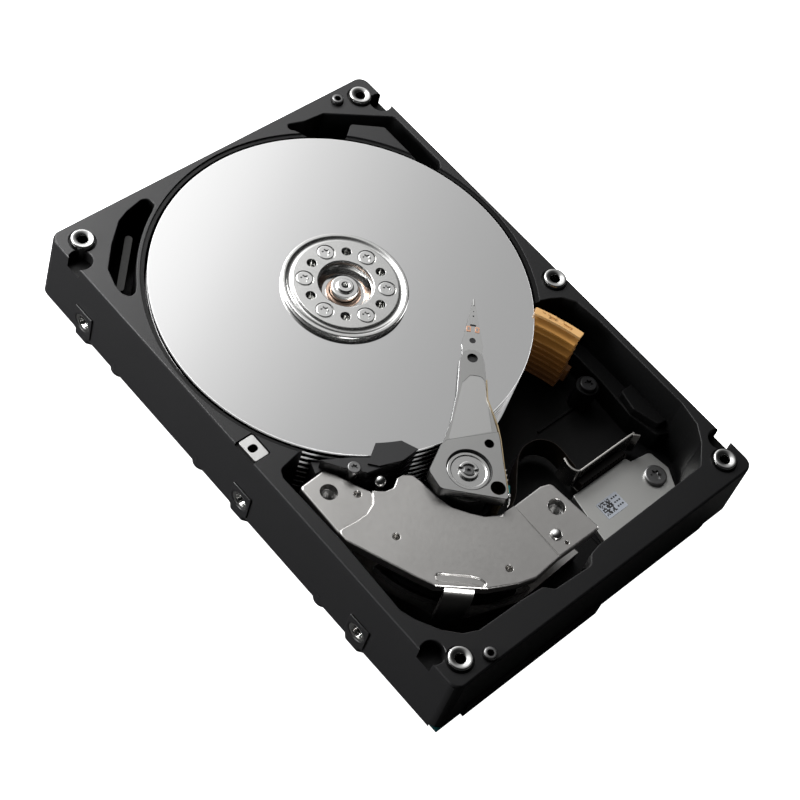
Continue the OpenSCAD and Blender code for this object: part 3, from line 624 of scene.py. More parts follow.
CHANNEL = (arc(22.5, 68.4, 1.2, 110, 250, 6)
           + [(24.6, 62.4), (31.9, 58.1), (36.2, 61.2), (43.3, 55.7), (43.3, 42.6), (46, 36.5),
              (48, 39.5)]
           + arc(46.2, 56, 1.8, 0, 55, 4) + [(32.4, 67.6), (26.4, 68.1)])
FILTER = (arc(0, SPINDLE_Y, 50.1, 120, 146, 12)
          + [(-43.2, 48.2), (-44.9, 47.9), (-45.9, 49.6), (-45.8, 52.4), (-44.4, 57), (-39.3, 62.4),
             (-33.5, 67.2), (-30, 68.6), (-25, 69.6), (-23.4, 69), (-23, 66.8)])


def rectangle(x0, x1, y0, y1):
    return [(x0, y0), (x1, y0), (x1, y1), (x0, y1)]


def across(obj, x, y, z, side):
    """Lays a vertical tool on its side, so that its top points out of the case's left or right."""
    turn = Matrix.Rotation(side * math.pi / 2, 4, "Y")
    return place(obj, Matrix.Translation((x * MM, y * MM, z * MM)) @ turn)


def make_case():
    skin = []
    for z, inset, low_y, high_y in (
            (1.1, 0.45, -72.7, 73.1), (1.25, 0.15, -73.0, 73.4), (1.6, 0.02, -73.08, 73.48),
            (21.9, 0.26, -72.78, 72.56), (22.4, 0.33, -72.7, 72.48), (22.7, 0.5, -72.5, 72.3),
            (RIM, 0.75, -72.25, 72.05)):
        outline = rounded(rectangle(inset - 50.4, 50.4 - inset, low_y, high_y), 2.6, 8)
        skin.append([(x, y, z) for x, y in outline])
    bm = bmesh.new()
    loft(bm, skin)
    case = raw(bm)
    joined = []
    for side in (-1, 1):
        for y in SIDE_HOLES_Y:
            foot = [(44.8, -3.8), (49.6, -3.4), (50.7, -2), (50.7, 2), (49.6, 3.4), (44.8, 3.8)]
            boss = slab(foot, 0.6, 3, 0.0, 3.2, low=0.25)
            pad = slab(rectangle(-3.2, 3.2, -4.3, 4.3), [0.9, 0.9, 0.4, 0.4], 4, 0, 3.0, high=0.18)
            place(pad, Matrix.Translation((47.78 * MM, 0, 6.3 * MM)) @ Matrix.Rotation(math.pi / 2, 4, "Y")
                  @ Matrix.Rotation(math.pi / 2, 4, "Z"))
            for part in (boss, pad):
                place(part, about(0, y, 0 if side > 0 else 180))
                joined.append(part)
    for x, y in BOTTOM_HOLES:
        joined.append(plug(x, y, 2.8, 40, 0, 4, low=0.2))
    combine(case, joined, "UNION")

    # Everything hollow inside, less the seats cast into the bay
    hollow = plug(0, SPINDLE_Y, WELL_R, 200, FLOOR, RIM, flare=0.35)
    step = plug(0, SPINDLE_Y, WELL_R + 0.95, 200, RIM - 0.45, RIM, flare=0.15)
    bay = slab(BAY, 1.6, 4, FLOOR, RIM, flare=0.3)
    combine(hollow, [bay, step], "UNION")
    seats = [
        slab([(44, -10), (49, -10), (49, -52), (44.6, -50), (43, -42), (44, -30)], 1.2, 4, 0, 11, high=0.5),
        slab([(44.4, -36), (49, -36), (49, -49), (45.4, -48.6), (43.2, -41.6)], 1.0, 4, 0, 13.5, high=0.4),
        slab([(14, -49), (48, -50), (48, -68), (14, -68)], 0.8, 3, 0, 4.4, high=0.2),
        plug(*BRACKET_SCREW, 4.6, 48, 0, 5.4, high=0.2),
        plug(*DAMPER_SCREW, 2.8, 40, 0, 18.4, high=0.3),
        plug(*RAMP_SCREW, 3, 40, 0, 12, high=0.3),
        slab(rectangle(24, 41, -30.2, -29.6), 0.2, 2, 0, FLOOR + 0.5, high=0.15),
        slab([(13.6, -33.4), (21.2, -32.2), (21.2, -31.6), (13.6, -32.8)], 0.2, 2, 0, FLOOR + 0.5,
             high=0.15),
    ]
    combine(hollow, seats)
    cuts = [
        hollow,
        slab(CHANNEL, 1.0, 3, 6, RIM, flare=0.3),
        slab(FILTER, 1.2, 4, 6, RIM, flare=0.3),
        plug(0, SPINDLE_Y, 13.6, 96, -1, FLOOR + 1),
        plug(*PIVOT, 3.2, 40, -1, FLOOR + 1),
        slab(rectangle(-51, -44.9, -4.0, 2.7), 0.5, 3, CLIP_SEAT, RIM + 3),
        plug(*CLIP_SCREW, 1.3, 32, RIM - 6, CLIP_SEAT, flare=0.2),
    ]
    for side in (-1, 1):
        for end in (-1, 1):
            x, y = side * NOTCH[0], end * NOTCH[1]
            cuts.append(plug(x, y, 2.9, 40, RIM - 3.4, RIM, flare=0.25))
            x += side * 2
            cuts.append(slab(rectangle(x - 2, x + 2, y - 1.7, y + 1.7), 0.3, 2, RIM - 3, RIM + 3))
        for y in SIDE_HOLES_Y:
            for bore in (plug(0, 0, 2.5, 40, -6, 0, flare=0.25), plug(0, 0, 2.5, 40, -1, 4)):
                cuts.append(across(bore, side * SIDE_PAD_X, y, SIDE_HOLE_Z, side))
    for x, y in COVER_SCREWS:
        cuts.append(plug(x, y, 3.35, 48, RIM - 0.5, RIM, flare=0.12))
        cuts.append(plug(x, y, 2.9, 48, RIM - 7, RIM + 1))
    for x, y in DOWELS:
        cuts.append(plug(x, y, 1.62, 40, RIM - 5, RIM, flare=0.15))
    for x, y in BOTTOM_HOLES:
        cuts.append(plug(x, y, 1.75, 32, -1, 3.4))
    board = [(-50.35, -73.25), (40.65, -73.25), (42.45, -70.75), (46.85, -66.25), (46.85, -51.9),
             (43.85, -50), (43.85, 1.25), (18.1, 1.25), (14.1, 8.25), (-18.1, 8.25), (-30.1, 2.25),
             (-43.85, 1.25), (-43.85, -50.2), (-50.35, -52.2)]
    recess = block(board, -1, 3.0)
    combine(recess, [plug(0, SPINDLE_Y, 14.15, 96, -2, 4)])
    cuts.append(recess)
    cuts.append(block(rectangle(-41.9, 3.1, -74.5, -67.7), -1, 5.8))
    cuts.append(block(rectangle(40.6, 52.6, -74.5, -71.5), -1, 4.2))
    combine(case, cuts)
    coat(case, "casting")
    # Painted shade: the case's inner walls and floor take a darker, less glossy copy of the casting.
    tint(case, "casting_deep", lambda f: abs(f.center.x) < 49.9 * MM and abs(f.center.y) < 72.9 * MM
         and 4 * MM < f.center.z < (RIM - 0.4) * MM)
    finish_piece(case, "case", "base", "casting", "base_casting", "casting", sharp=28)


# ---- spindle, platters and clamp

PLATTERS = 9
PLATTER_TOP = 22.7
PLATTER_T = 0.7
PLATTER_R = 47.5
PLATTER_BORE = 12.5
PITCH = 2.05
CLAMP_TOP = 24.6
SCREW_ANGLE = 18.3
CLAMP_CUTS = 6


def star(x, y, tip, root, turn=0.0, count=60):
    """Six lobed outline of a screw recess."""
    out = []
    for i in range(count):
        a = 2 * math.pi * i / count
        r = root + (tip - root) * (0.5 + 0.5 * math.cos(6 * a)) ** 1.4
        out.append((x + r * math.cos(a + turn), y + r * math.sin(a + turn)))
    return out


def star_screw(x, y, top, head_r, head_h, shank_r, low, turn=0.0, recess=0.75):
    """Low headed screw with a six lobed recess."""
    screw = lathe([(0, low), (0, top), (head_r * 0.85, top), (head_r * 0.94, top - 0.05),
                   (head_r * 0.99, top - 0.14), (head_r, top - 0.25), (head_r, top - head_h),
                   (shank_r, top - head_h), (shank_r, low)], x, y, 56)
    bit = block(star(x, y, head_r * 0.52, head_r * 0.33, turn), top - recess, top + 0.5)
    return combine(screw, [bit])


def make_spindle():
    clamp = lathe([
        (6.75, 23.2), (6.75, 24.3), (6.85, 24.48), (7.05, 24.6), (12.9, 24.6), (13.1, 24.55),
        (13.2, 24.4), (13.25, 24.1), (13.4, 23.9), (13.7, 23.82), (14.05, 23.86), (14.4, 24.0),
        (14.65, 24.16), (14.9, 24.22), (15.35, 24.22), (15.55, 24.16), (15.66, 24.02),
        (15.7, 23.85), (15.7, 23.15), (15.6, 22.95), (15.5, 22.72), (13.9, 22.72), (13.9, 23.2)],
        0, SPINDLE_Y, 160)
    cuts, screws, wells = [], [], []
    for i in range(CLAMP_CUTS):
        x, y = polar(0, SPINDLE_Y, 10.1, SCREW_ANGLE + 60 * i)
        cuts.append(plug(x, y, 2.3, 48, 23.85, CLAMP_TOP + 1))
        cuts.append(plug(x, y, 1.1, 24, 22, 25))
        screws.append(star_screw(x, y, CLAMP_TOP + 0.02, 2.15, 0.72, 1.0, 19.4, 0.3 + i, 0.3))
        x, y = polar(0, SPINDLE_Y, 9.8, SCREW_ANGLE + 30 + 60 * i)
        cuts.append(plug(x, y, 1.22, 36, 22.5, CLAMP_TOP, flare=0.07))
        wells.append(plug(x, y, 1.3, 24, 18.5, 24))
    combine(clamp, cuts)
    finish_piece(clamp, "clamp", "rotor", "clamp", "disk_clamp", "clamp", sharp=35)
    finish_piece(merged(screws), "clamp_screw_set", "rotor", "bright", "clamp_screws",
                 "screw_bright", sharp=40)

    hub = lathe([
        (4.36, 21.0), (5.25, 21.0), (5.4, 21.1), (5.5, 21.3), (6.5, 22.9), (6.62, 23.12), (6.8, 23.2),
        (12.48, 23.2), (12.48, 5.6), (15.5, 5.6), (15.5, 4.9), (11.2, 4.9), (11.2, 17.4),
        (4.36, 17.4)], 0, SPINDLE_Y, 128)
    combine(hub, wells)
    finish_piece(hub, "hub", "rotor", "polished", "spindle_hub", "hub", sharp=35)
    sleeve = lathe([
        (2.03, 5), (4.35, 5), (4.35, 21.35), (4.25, 21.5), (3.75, 21.55), (3.55, 21.45), (3.5, 21.3),
        (3.48, 20.2), (2.03, 20.2)], 0, SPINDLE_Y, 96)
    finish_piece(sleeve, "sleeve", "rotor", "bronze", "bearing_sleeve", "bearing_bronze")
    shaft = lathe([
        (0, 1.6), (2, 1.6), (2, 20.3), (3.2, 20.3), (3.4, 20.45), (3.4, 23.1), (3.3, 23.25),
        (3.1, 23.32), (2.25, 23.32), (2.1, 23.4), (2.05, 23.6), (2.05, 23.82), (1.95, 23.95),
        (1.8, 24.0), (1.05, 24.0), (0.85, 23.9), (0.8, 23.8), (0.8, 18), (0, 18)], 0, SPINDLE_Y, 80)
    finish_piece(shaft, "shaft", "base", "bright", "spindle_shaft", "shaft", sharp=35)

    bm = bmesh.new()
    for i in range(PLATTERS):
        top = PLATTER_TOP - i * PITCH
        low = top - PLATTER_T
        loops = []
        for r, z in ((PLATTER_BORE, low), (PLATTER_R - 0.18, low), (PLATTER_R - 0.06, low + 0.06),
                     (PLATTER_R, low + 0.18), (PLATTER_R, top - 0.18), (PLATTER_R - 0.06, top - 0.06),
                     (PLATTER_R - 0.18, top), (PLATTER_BORE, top)):
            loops.append([(x, y, z) for x, y in reversed(circle(0, SPINDLE_Y, r, 240))])
        loft(bm, loops, close=True)
    stack = raw(bm, turn_out=True)
    coat(stack, "disk")
    tint(stack, "disk_edge", lambda f: abs(f.normal.z) < 0.9)
    finish_piece(stack, "platter_stack", "rotor", "disk", "platters", "disk", sharp=50)


# ---- hardware in the case

def make_hardware():
    bushings = []
    for x, y in COVER_SCREWS:
        bushings.append(lathe([
            (1.25, 15.8), (1.25, 23.3), (1.35, 23.45), (1.62, 23.6), (2.3, 23.8), (2.55, 23.8),
            (2.75, 23.74), (2.87, 23.6), (2.9, 23.42), (2.9, 22.5), (2.9, 15.8)], x, y, 72))
    finish_piece(merged(bushings), "bushings", "base", "polished", "cover_bushings",
                 "bushing_steel", sharp=40)
    dowels = [lathe([(0.75, 17.8), (0.75, 23.75), (0.85, 23.88), (1.3, 23.9), (1.5, 23.8),
                     (1.6, 23.6), (1.6, 17.8)], x, y, 56) for x, y in DOWELS]
    finish_piece(merged(dowels), "dowels", "base", "dark_steel", "locating_dowels",
                 "dowel_steel", sharp=40)
    clip = slab(rectangle(-49.3, -45.15, -3.75, 2.45), 0.5, 4, CLIP_SEAT, RIM - 0.3, high=0.12)
    slot = slab(rectangle(-48.7, -46.3, -1.6, 0.4), 0.9, 5, RIM - 1.5, RIM + 1)
    combine(clip, [slot])
    finish_piece(clip, "clip", "base", "satin", "ground_clip", "clip_steel")
    inserts = []
    for side in (-1, 1):
        for y in SIDE_HOLES_Y:
            profile = [(2.5, -4.3), (1.75, -4.3)]
            for k in range(16):
                z = -4.2 + k * 0.25
                profile += [(1.75, z), (1.93, z + 0.12)]
            profile += [(1.8, -0.1), (2.0, 0.0), (2.45, 0.0), (2.5, -0.1)]
            ring = lathe(profile, 0, 0, 48)
            inserts.append(across(ring, side * (SIDE_PAD_X - 0.15), y, SIDE_HOLE_Z, side))
    finish_piece(merged(inserts), "inserts", "base", "polished", "side_inserts", "insert_steel",
                 sharp=40)


# ---- actuator

ARM_ANGLE = 45.0
ARM_GAP = PITCH - PLATTER_T
ARM_T = 0.8
TOP_ARM_EXTRA = 0.3
PANEL_DEPTH = 0.1
SWAGE_X = 32.2
ARMS = PLATTERS + 1
ARM = [
    (3, 7.4), (6.4, 6.4), (13, 4.6), (21.4, 3.4), (31, 3.1), (33.6, 2.4), (34.6, 0.8), (34.6, -0.8),
    (33.6, -2.4), (31, -3.1), (21.4, -3.6), (13.2, -6.2), (9.8, -7), (3, -7),
]
FLANGE = [
    (5.6, 6.9), (-2, 9.5), (-6.3, 6.5), (-6.4, -9.0), (-5.8, -9.4), (9.8, -7.05), (11.7, -6.6),
    (11.2, -5.4), (7.15, 5.6),
]
PANEL = [(7.6, 5.1), (24.4, 2.3), (26.9, 0.4), (27.0, -2.9), (11.8, -5.2)]
BEAM = [
    (29.6, 2.5), (35, 2.5), (36.2, 2.7), (41.1, 1.85), (48.2, 0.5), (50.4, 0.28), (50.4, -0.28),
    (48.2, -0.5), (41.1, -1.85), (36.2, -2.7), (35, -2.5), (29.6, -2.5),
]


def arm_z(k):
    return PLATTER_TOP + ARM_GAP / 2 - k * PITCH


def at_arm(obj):
    return place(obj, about(*PIVOT, ARM_ANGLE))


def make_carriage():
    top_z = arm_z(0) + ARM_T / 2 + TOP_ARM_EXTRA
    body = plug(0, 0, 7.2, 96, 4.5, 22.3, low=0.3)
    parts = [
        block([(0, 7), (5.4, 6.4), (7.4, 4.8), (9.2, -0.5), (9.6, -6.9), (0, -7)], 4.5, 23.6),
        slab(FLANGE, [0.8, 1.6, 1.6, 0.9, 0.9, 1.0, 0.2, 0.1, 0.1], 5, 21.3, CLAMP_TOP,
             low=0.1, high=0.1),
    ]
    for k in range(ARMS):
        z0, z1 = arm_z(k) - ARM_T / 2, arm_z(k) + ARM_T / 2
        if k == 0:
            parts.append(slab(ARM, 0.8, 3, z0, top_z, high=0.04))
        else:
            parts.append(slab(ARM, 0.8, 2, z0, z1, high=0.04, low=0.04, steps=2))
    combine(body, parts, "UNION")
    cuts = [
        plug(0, 0, 5.25, 96, 0, CLAMP_TOP, flare=0.25),
        plug(7.9, -4.5, 1.1, 40, 6, CLAMP_TOP, flare=0.08),
        plug(-3.8, -6.9, 1.75, 48, 6, CLAMP_TOP, flare=0.08),
        plug(SWAGE_X, 0, 1.3, 40, 0, top_z, flare=0.1),
        slab(PANEL, [0.4, 1.2, 0.9, 1.6, 0.3], 5, top_z - PANEL_DEPTH, top_z + 2),
        slab([(28.6, -4), (40, -4), (40, 4), (28.6, 4)], 0.1, 1, arm_z(0) + 0.3, top_z + 2),
    ]
    combine(body, cuts)
    at_arm(body)
    panel_z = (top_z - PANEL_DEPTH) * MM
    coat(body, "satin")
    tint(body, "panel", lambda f: f.normal.z > 0.9 and abs(f.center.z - panel_z) < 0.00002)
    # Painted shade: the carriage's upright sides and walls take a near-black copy of the aluminium.
    tint(body, "arm_side", lambda f: abs(f.normal.z) < 0.97)
    finish_piece(body, "carriage_casting", "actuator", "satin", "carriage", "carriage", sharp=30)

    cartridge = lathe([
        (2.43, 4.6), (5.25, 4.6), (5.25, 23.7), (5.15, 23.86), (4.95, 23.92), (4.35, 23.92),
        (4.25, 23.86), (4.2, 23.72), (4.1, 23.66), (2.5, 23.66), (2.43, 23.6)], 0, 0, 112)
    finish_piece(at_arm(cartridge), "cartridge", "actuator", "turned", "pivot_sleeve", "sleeve",
                 sharp=35)
    pin = lathe([
        (1.3, 3), (3.2, 3), (3.2, 4.4), (2.4, 4.4), (2.4, 24.2), (2.3, 24.32), (2.15, 24.36),
        (1.75, 24.36), (1.6, 24.25), (1.5, 24.05), (1.3, 23.9)], 0, 0, 72)
    combine(pin, [slab(rectangle(-0.55, 0.55, y, y + 2), 0.1, 1, 23.8, 26) for y in (1.2, -3.2)])
    finish_piece(at_arm(pin), "pivot_pin", "base", "turned", "pivot_shaft", "shaft", sharp=35)
    screw = star_screw(0, 0, 24.15, 1.28, 0.7, 1.2, 8, 0.4, 0.55)
    finish_piece(at_arm(screw), "pivot_bolt", "base", "dark_steel", "pivot_screw", "screw_dark",
                 sharp=40)


def beam(z):
    """A load beam with its holes, a slot at the gimbal and a lift tab."""
    plate = slab(BEAM, [0.5, 1, 1, 1, 0.3, 0.2, 0.2, 0.3, 1, 1, 1, 0.5], 3, z - 0.05, z + 0.05)
    cuts = [plug(x, 0, radius, count, z - 1, z + 1) for x, radius, count in
            ((37.8, 0.8, 24), (SWAGE_X, 1.28, 32), (45.2, 0.22, 16), (46.6, 0.14, 12))]
    cuts.append(slab(rectangle(42.1, 42.65, -0.75, 0.75), 0.15, 2, z - 1, z + 1))
    combine(plate, cuts)
    tab = slab(rectangle(48.4, 50.4, -0.2, 0.2), 0.15, 3, z + 0.02, z + 0.2, high=0.08, steps=2)
    return combine(plate, [tab], "UNION")


def make_heads():
    beams, strips, pads, sliders = [], [], [], []
    for k in range(ARMS):
        for facing in (1, -1):
            if (facing == 1 and k == 0) or (facing == -1 and k == ARMS - 1):
                continue
            z = arm_z(k) + facing * (ARM_T / 2 + 0.05)
            if k == 0:
                beams.append(beam(z + 0.1))
                # Painted shade: black discs under the top beam's holes, so that they read as holes
                for x, radius in ((SWAGE_X, 1.27), (37.8, 0.95), (42.38, 0.9), (45.2, 0.3), (46.6, 0.2)):
                    sliders.append(plug(x, 0, radius, 20, z - 0.02, z + 0.03))
            else:
                plain = slab(BEAM, 0.3, 1, z - 0.05, z + 0.05)
                beams.append(combine(plain, [plug(SWAGE_X, 0, 1.25, 24, z - 1, z + 1)]))
            level = z + 0.18 if k == 0 else z + facing * 0.11
            for side in (-1, 1):
                y = side * 1.06
                strips.append(slab(rectangle(40.3, 42.0, y - 0.55, y + 0.55), 0.15, 2, level - 0.06,
                                   level + 0.06, high=0.03, steps=1))
                pads.append(block(rectangle(40.75, 41.6, y - 0.2, y + 0.3), level, level + 0.08))
            sliders.append(block(rectangle(46.6, 47.8, -0.4, 0.4), z + facing * 0.06 - 0.07,
                                 z + facing * 0.06 + 0.07, high=0.02, steps=1))
    finish_piece(at_arm(merged(beams)), "beams", "actuator", "bright", "load_beams", "beam_steel")
    finish_piece(at_arm(merged(strips)), "piezo_strips", "actuator", "piezo", "piezo_actuators", "piezo")
    finish_piece(at_arm(merged(pads)), "piezo_pads", "actuator", "steel", None, "piezo")
    finish_piece(at_arm(merged(sliders)), "sliders", "actuator", "black_resin", "head_sliders", "slider")


# ---- actuator motor

PLATE_MAIN = [
    (-31.3, -24), (-28.7, -25.9), (-26.6, -26.3), (-24.2, -24.8), (-22.4, -25), (-20.6, -26.4),
    (-20.1, -28.6), (-19.7, -34), (-18.7, -38), (-16.2, -41.6), (-14, -44.2), (-10.9, -45.9),
    (-6.2, -46.1), (-6.7, -62.1), (-15.1, -62.8), (-19.4, -61.6), (-26.5, -58.2),
    (-35.8, -50.6), (-37.8, -46.6), (-44.8, -30.4), (-44.8, -27.4), (-39.5, -27.9),
    (-36.2, -27.8), (-33.6, -26.8), (-32.2, -25.2),
]
PLATE_LEFT = [
    (-44.5, -13.8), (-36.8, -13.4), (-34.9, -16.2), (-33.2, -20.3), (-31.3, -24), (-32.6, -27.4),
    (-36, -29.4), (-44.8, -29.0), (-44.8, -27.4),
]
PLATE_RIGHT = [
    (-8, -46.05), (-6.2, -46.1), (2.6, -45.9), (5.4, -46.8), (6.8, -62.2), (-6.8, -62.1), (-8, -62.2),
]
POSTS = [(-39.6, -18.6), (1.9, -52.2)]
DOME = (-3.4, -57.4)
STOP_PIN = (-28.3, -23.4)
PLATE_LOW = 18.5
TOP_Z = 21.1
LEFT_TOP = TOP_Z - 0.38
RIGHT_TOP = TOP_Z - 0.16


def make_motor_plate():
    plate = slab(PLATE_MAIN, [0] + [1.2] * 11 + [0, 0] + [1.2] * 7 + [0] + [0.6] * 3, 3, PLATE_LOW, TOP_Z,
                 low=0.25, high=0.4)
    left = slab(PLATE_LEFT, [1.2, 1.4, 1.5, 1.5, 0.1, 0.1, 0.1, 0.1, 0.5], 4, PLATE_LOW, LEFT_TOP,
                low=0.25, high=0.55)
    right = slab(PLATE_RIGHT, [0.1, 0.1, 1.5, 1.2, 0.8, 0.1, 0.1], 4, PLATE_LOW, RIGHT_TOP,
                 low=0.25, high=0.45)
    # Tab at the front that folds down to the bottom plate
    fold = [(-2.5, 19.5), (-2.5, 20.85), (-0.4, 20.85), (0.3, 20.7), (0.9, 20.3), (1.35, 19.7),
            (1.65, 18.9), (1.85, 17.6), (1.85, 8.3), (0.65, 8.3), (0.65, 17.5), (0.4, 18.7), (-0.4, 19.5)]
    out_x, out_y = -0.655, -0.756
    bm = bmesh.new()
    loft(bm, [[(x + d * out_x, y + d * out_y, z) for d, z in fold]
              for x, y in ((-33.95, -51.85), (-28.75, -56.35))])
    tab = raw(bm, turn_out=True)
    combine(plate, [left, right, tab], "UNION")
    cuts = []
    for x, y in POSTS:
        cuts.append(plug(x, y, 2.1, 56, 18, RIGHT_TOP, flare=0.16))
    for x, y, top in ((-34.5, -22.8, LEFT_TOP), (-34.7, -36.3, TOP_Z), (-18.8, -57.4, TOP_Z)):
        cuts.append(plug(x, y, 0.85, 36, 19, top, flare=0.2))
    cuts.append(plug(-2.8, -60.4, 0.5, 24, 19, RIGHT_TOP, flare=0.12))
    cuts.append(plug(*DOME, 1.42, 48, 18, RIGHT_TOP, flare=0.1))
    # Pressed groove that frames the tab
    groove = [(-34.2, -49.3), (-33.0, -50.0), (-27.9, -54.4), (-26.9, -55.8), (-26.5, -57.2)]
    half_width = 0.85
    left_side, right_side = [], []
    for i, point in enumerate(groove):
        a = Vector(groove[max(0, i - 1)])
        b = Vector(groove[min(len(groove) - 1, i + 1)])
        n = (b - a).normalized()
        left_side.append((point[0] - n.y * half_width, point[1] + n.x * half_width))
        right_side.append((point[0] + n.y * half_width, point[1] - n.x * half_width))
    cuts.append(slab(left_side + right_side[::-1], 0.5, 4, TOP_Z - 0.4, TOP_Z, low=0.2, flare=0.35))
    # Thin fold line between the raised middle and the right end
    cuts.append(block([(-6.35, -45), (-6.25, -45), (-6.55, -63), (-6.65, -63)], TOP_Z - 0.3, TOP_Z + 1))
    combine(plate, cuts)
    finish_piece(plate, "motor_plate", "base", "yoke", "vcm_top_plate", "yoke", sharp=30)
    dome = lathe([(0, PLATE_LOW), (1.38, PLATE_LOW), (1.38, 20.9), (1.36, 21.2), (1.3, 21.5), (1.05, 21.76),
                  (0.7, 21.94), (0.35, 22.02), (0, 22.05)], *DOME, 64)
    finish_piece(dome, "dome_pin", "base", "bright", "vcm_dome_pin", "screw_bright", sharp=50)
    posts = []
    for x, y in POSTS:
        profile = [(2.9, PLATE_LOW), (2.9, 8.2), (1.6, 8.2)]
        for k in range(20):
            profile += [(1.6, 8.4 + k * 0.48), (1.85, 8.64 + k * 0.48)]
        profile += [(1.6, 18.2), (1.9, PLATE_LOW)]
        posts.append(lathe(profile, x, y, 48))
    # Painted shade: the posts get dark steel so that the plate's holes above them read dark.
    finish_piece(merged(posts), "posts", "base", "dark_steel", "vcm_posts", "sleeve", sharp=40)
    stop = lathe([(0, FLOOR), (1.0, FLOOR), (1.0, 19.7), (0.9, 19.9), (1.25, 20.2), (1.45, 20.6),
                  (1.5, 21.1), (1.45, 21.6), (1.25, 22.1), (0.9, 22.5), (0.45, 22.74), (0, 22.8)],
                 *STOP_PIN, 48)
    finish_piece(stop, "stop_pin", "base", "turned", "crash_stop_pin", "dowel_steel", sharp=50)


# ---- flex ribbon and its bracket

RIBBON = [
    (-7.1, -43.9), (-3.5, -44.2), (0.6, -42.6), (3.8, -39.8), (6.5, -37.2), (9.9, -34.4),
    (13.3, -33.3), (17, -33.9), (19.4, -36.4), (19.9, -39.5), (19.6, -42.7), (19.4, -44.8),
]
RIBBON_LOW, RIBBON_HIGH = 5.6, 12.6
SHELF = 5.4
COVER_LOW, COVER_TOP = 4.4, 6.0
LABEL_TOP = COVER_TOP + 0.08


def smooth_line(points, steps):
    """Curve through the points, with its corners rounded."""
    out = []
    for i in range(len(points) - 1):
        p0 = Vector(points[max(0, i - 1)])
        p1, p2 = Vector(points[i]), Vector(points[i + 1])
        p3 = Vector(points[min(len(points) - 1, i + 2)])
        for k in range(steps):
            t = k / steps
            out.append(0.5 * (2 * p1 + (p2 - p0) * t + (2 * p0 - 5 * p1 + 4 * p2 - p3) * t * t
                              + (3 * p1 - p0 - 3 * p2 + p3) * t ** 3))
    out.append(Vector(points[-1]))
    return out


def strip_wall(line, thick, low, high):
    """A thin upright wall along a line of points, with its top edges eased."""
    edge = min(0.06, thick / 3)
    bm = bmesh.new()
    loops = []
    for i, p in enumerate(line):
        a, b = line[max(0, i - 1)], line[min(len(line) - 1, i + 1)]
        t = (b - a).normalized()
        n = Vector((-t.y, t.x)) * thick / 2
        loops.append([(p.x + n.x, p.y + n.y, low), (p.x - n.x, p.y - n.y, low),
                      (p.x - n.x, p.y - n.y, high - edge), (p.x - n.x * 0.4, p.y - n.y * 0.4, high),
                      (p.x + n.x * 0.4, p.y + n.y * 0.4, high), (p.x + n.x, p.y + n.y, high - edge)])
    loft(bm, loops)
    return raw(bm, turn_out=True)


def make_flex():
    ribbon = strip_wall(smooth_line(RIBBON, 9), 0.2, RIBBON_LOW, RIBBON_HIGH)
    finish_piece(ribbon, "ribbon", None, "brown", "flex_cable", "ribbon", sharp=50)
    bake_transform(ribbon)
    bracket = smooth_line([
        (19.0, -41.4), (18.5, -43.2), (18.5, -44.4), (18.9, -45.6), (19.7, -46.25), (20.8, -46.3),
        (37.6, -46.3), (38.6, -46.7), (39.8, -47.8)], 6)
    wall = strip_wall(bracket, 0.55, SHELF, 12.4)
    foot = slab(rectangle(19.6, 37.8, -48.3, -46.1), 0.3, 2, 4.5, SHELF, high=0.12)
    combine(wall, [foot], "UNION")
    finish_piece(wall, "bracket", "base", "bracket", "flex_bracket", "bracket_steel", sharp=35)
    header = slab(rectangle(19.8, 35.8, -48.5, -46.7), 0.25, 3, SHELF, 8.4, high=0.2)
    combine(header, [block(rectangle(20.5 + 0.95 * i, 21.05 + 0.95 * i, -48.9, -48.2), 5.9, 8.9)
                     for i in range(16)])
    finish_piece(header, "header", "base", "brown", "flex_header", "header")
    cover = slab([(17.4, -48.6), (36.4, -48.6), (37.4, -51.5), (34.4, -64), (14.6, -64)], 0.7, 4,
                 COVER_LOW, COVER_TOP, high=0.12)
    ear = slab([(36.2, -50), (43, -51), (43.8, -57), (41, -62.2), (33.6, -63.8), (33.2, -60)], 1.2, 4,
               SHELF, COVER_TOP, high=0.12)
    combine(cover, [ear], "UNION")
    combine(cover, [plug(*BRACKET_SCREW, 4.7, 48, 4, SHELF), plug(*BRACKET_SCREW, 1.35, 32, 4, 8)])
    finish_piece(cover, "cover_plate", "base", "plate", "header_plate", "header_plate")
    label = slab(rectangle(20.2, 27.2, -58.6, -53.8), 0.2, 3, COVER_TOP, LABEL_TOP)
    finish_piece(label, "label", "base", "label", "header_label", "label")
    # Plain squares and dashes that spell nothing
    marks = []
    for i in range(11):
        for j in range(11):
            if (i * 7 + j * 13 + (i * i * j) % 5 + (i ^ j)) % 5 < 3:
                x, y = 20.6 + i * 0.32, -57.9 + j * 0.34
                marks.append(block(rectangle(x, x + 0.3, y, y + 0.32), LABEL_TOP - 0.02, LABEL_TOP + 0.02))
    for row in range(3):
        for dash in range(3):
            x, y = 24.7 + dash * 0.75, -57.5 + row * 1.25
            marks.append(block(rectangle(x, x + 0.5, y, y + 0.42), LABEL_TOP - 0.02, LABEL_TOP + 0.02))
    finish_piece(merged(marks), "label_marks", "base", "black_resin", None, "label", weighted=False)
    for spot, sizes, name, *rest in (
            (BRACKET_SCREW, (6.9, 2.9, 0.9, 1.15, 3.3, 0.5, 0.5),
             "bracket_bolt", "dark_steel", "bracket_screw", "screw_dark"),
            (RAMP_SCREW, (13.0, 2.2, 1.0, 1.0, 7, 0.2, 0.6),
             "ramp_bolt", "black_steel", "ramp_screw", "screw_dark"),
            (DAMPER_SCREW, (24.0, 1.6, 0.8, 1.15, 15, 0.1, 0.5),
             "damper_bolt", "dark_steel", "damper_screw", "screw_bright")):
        finish_piece(star_screw(*spot, *sizes), name, "base", *rest, sharp=40)


# ---- ramp and the flex on the arm

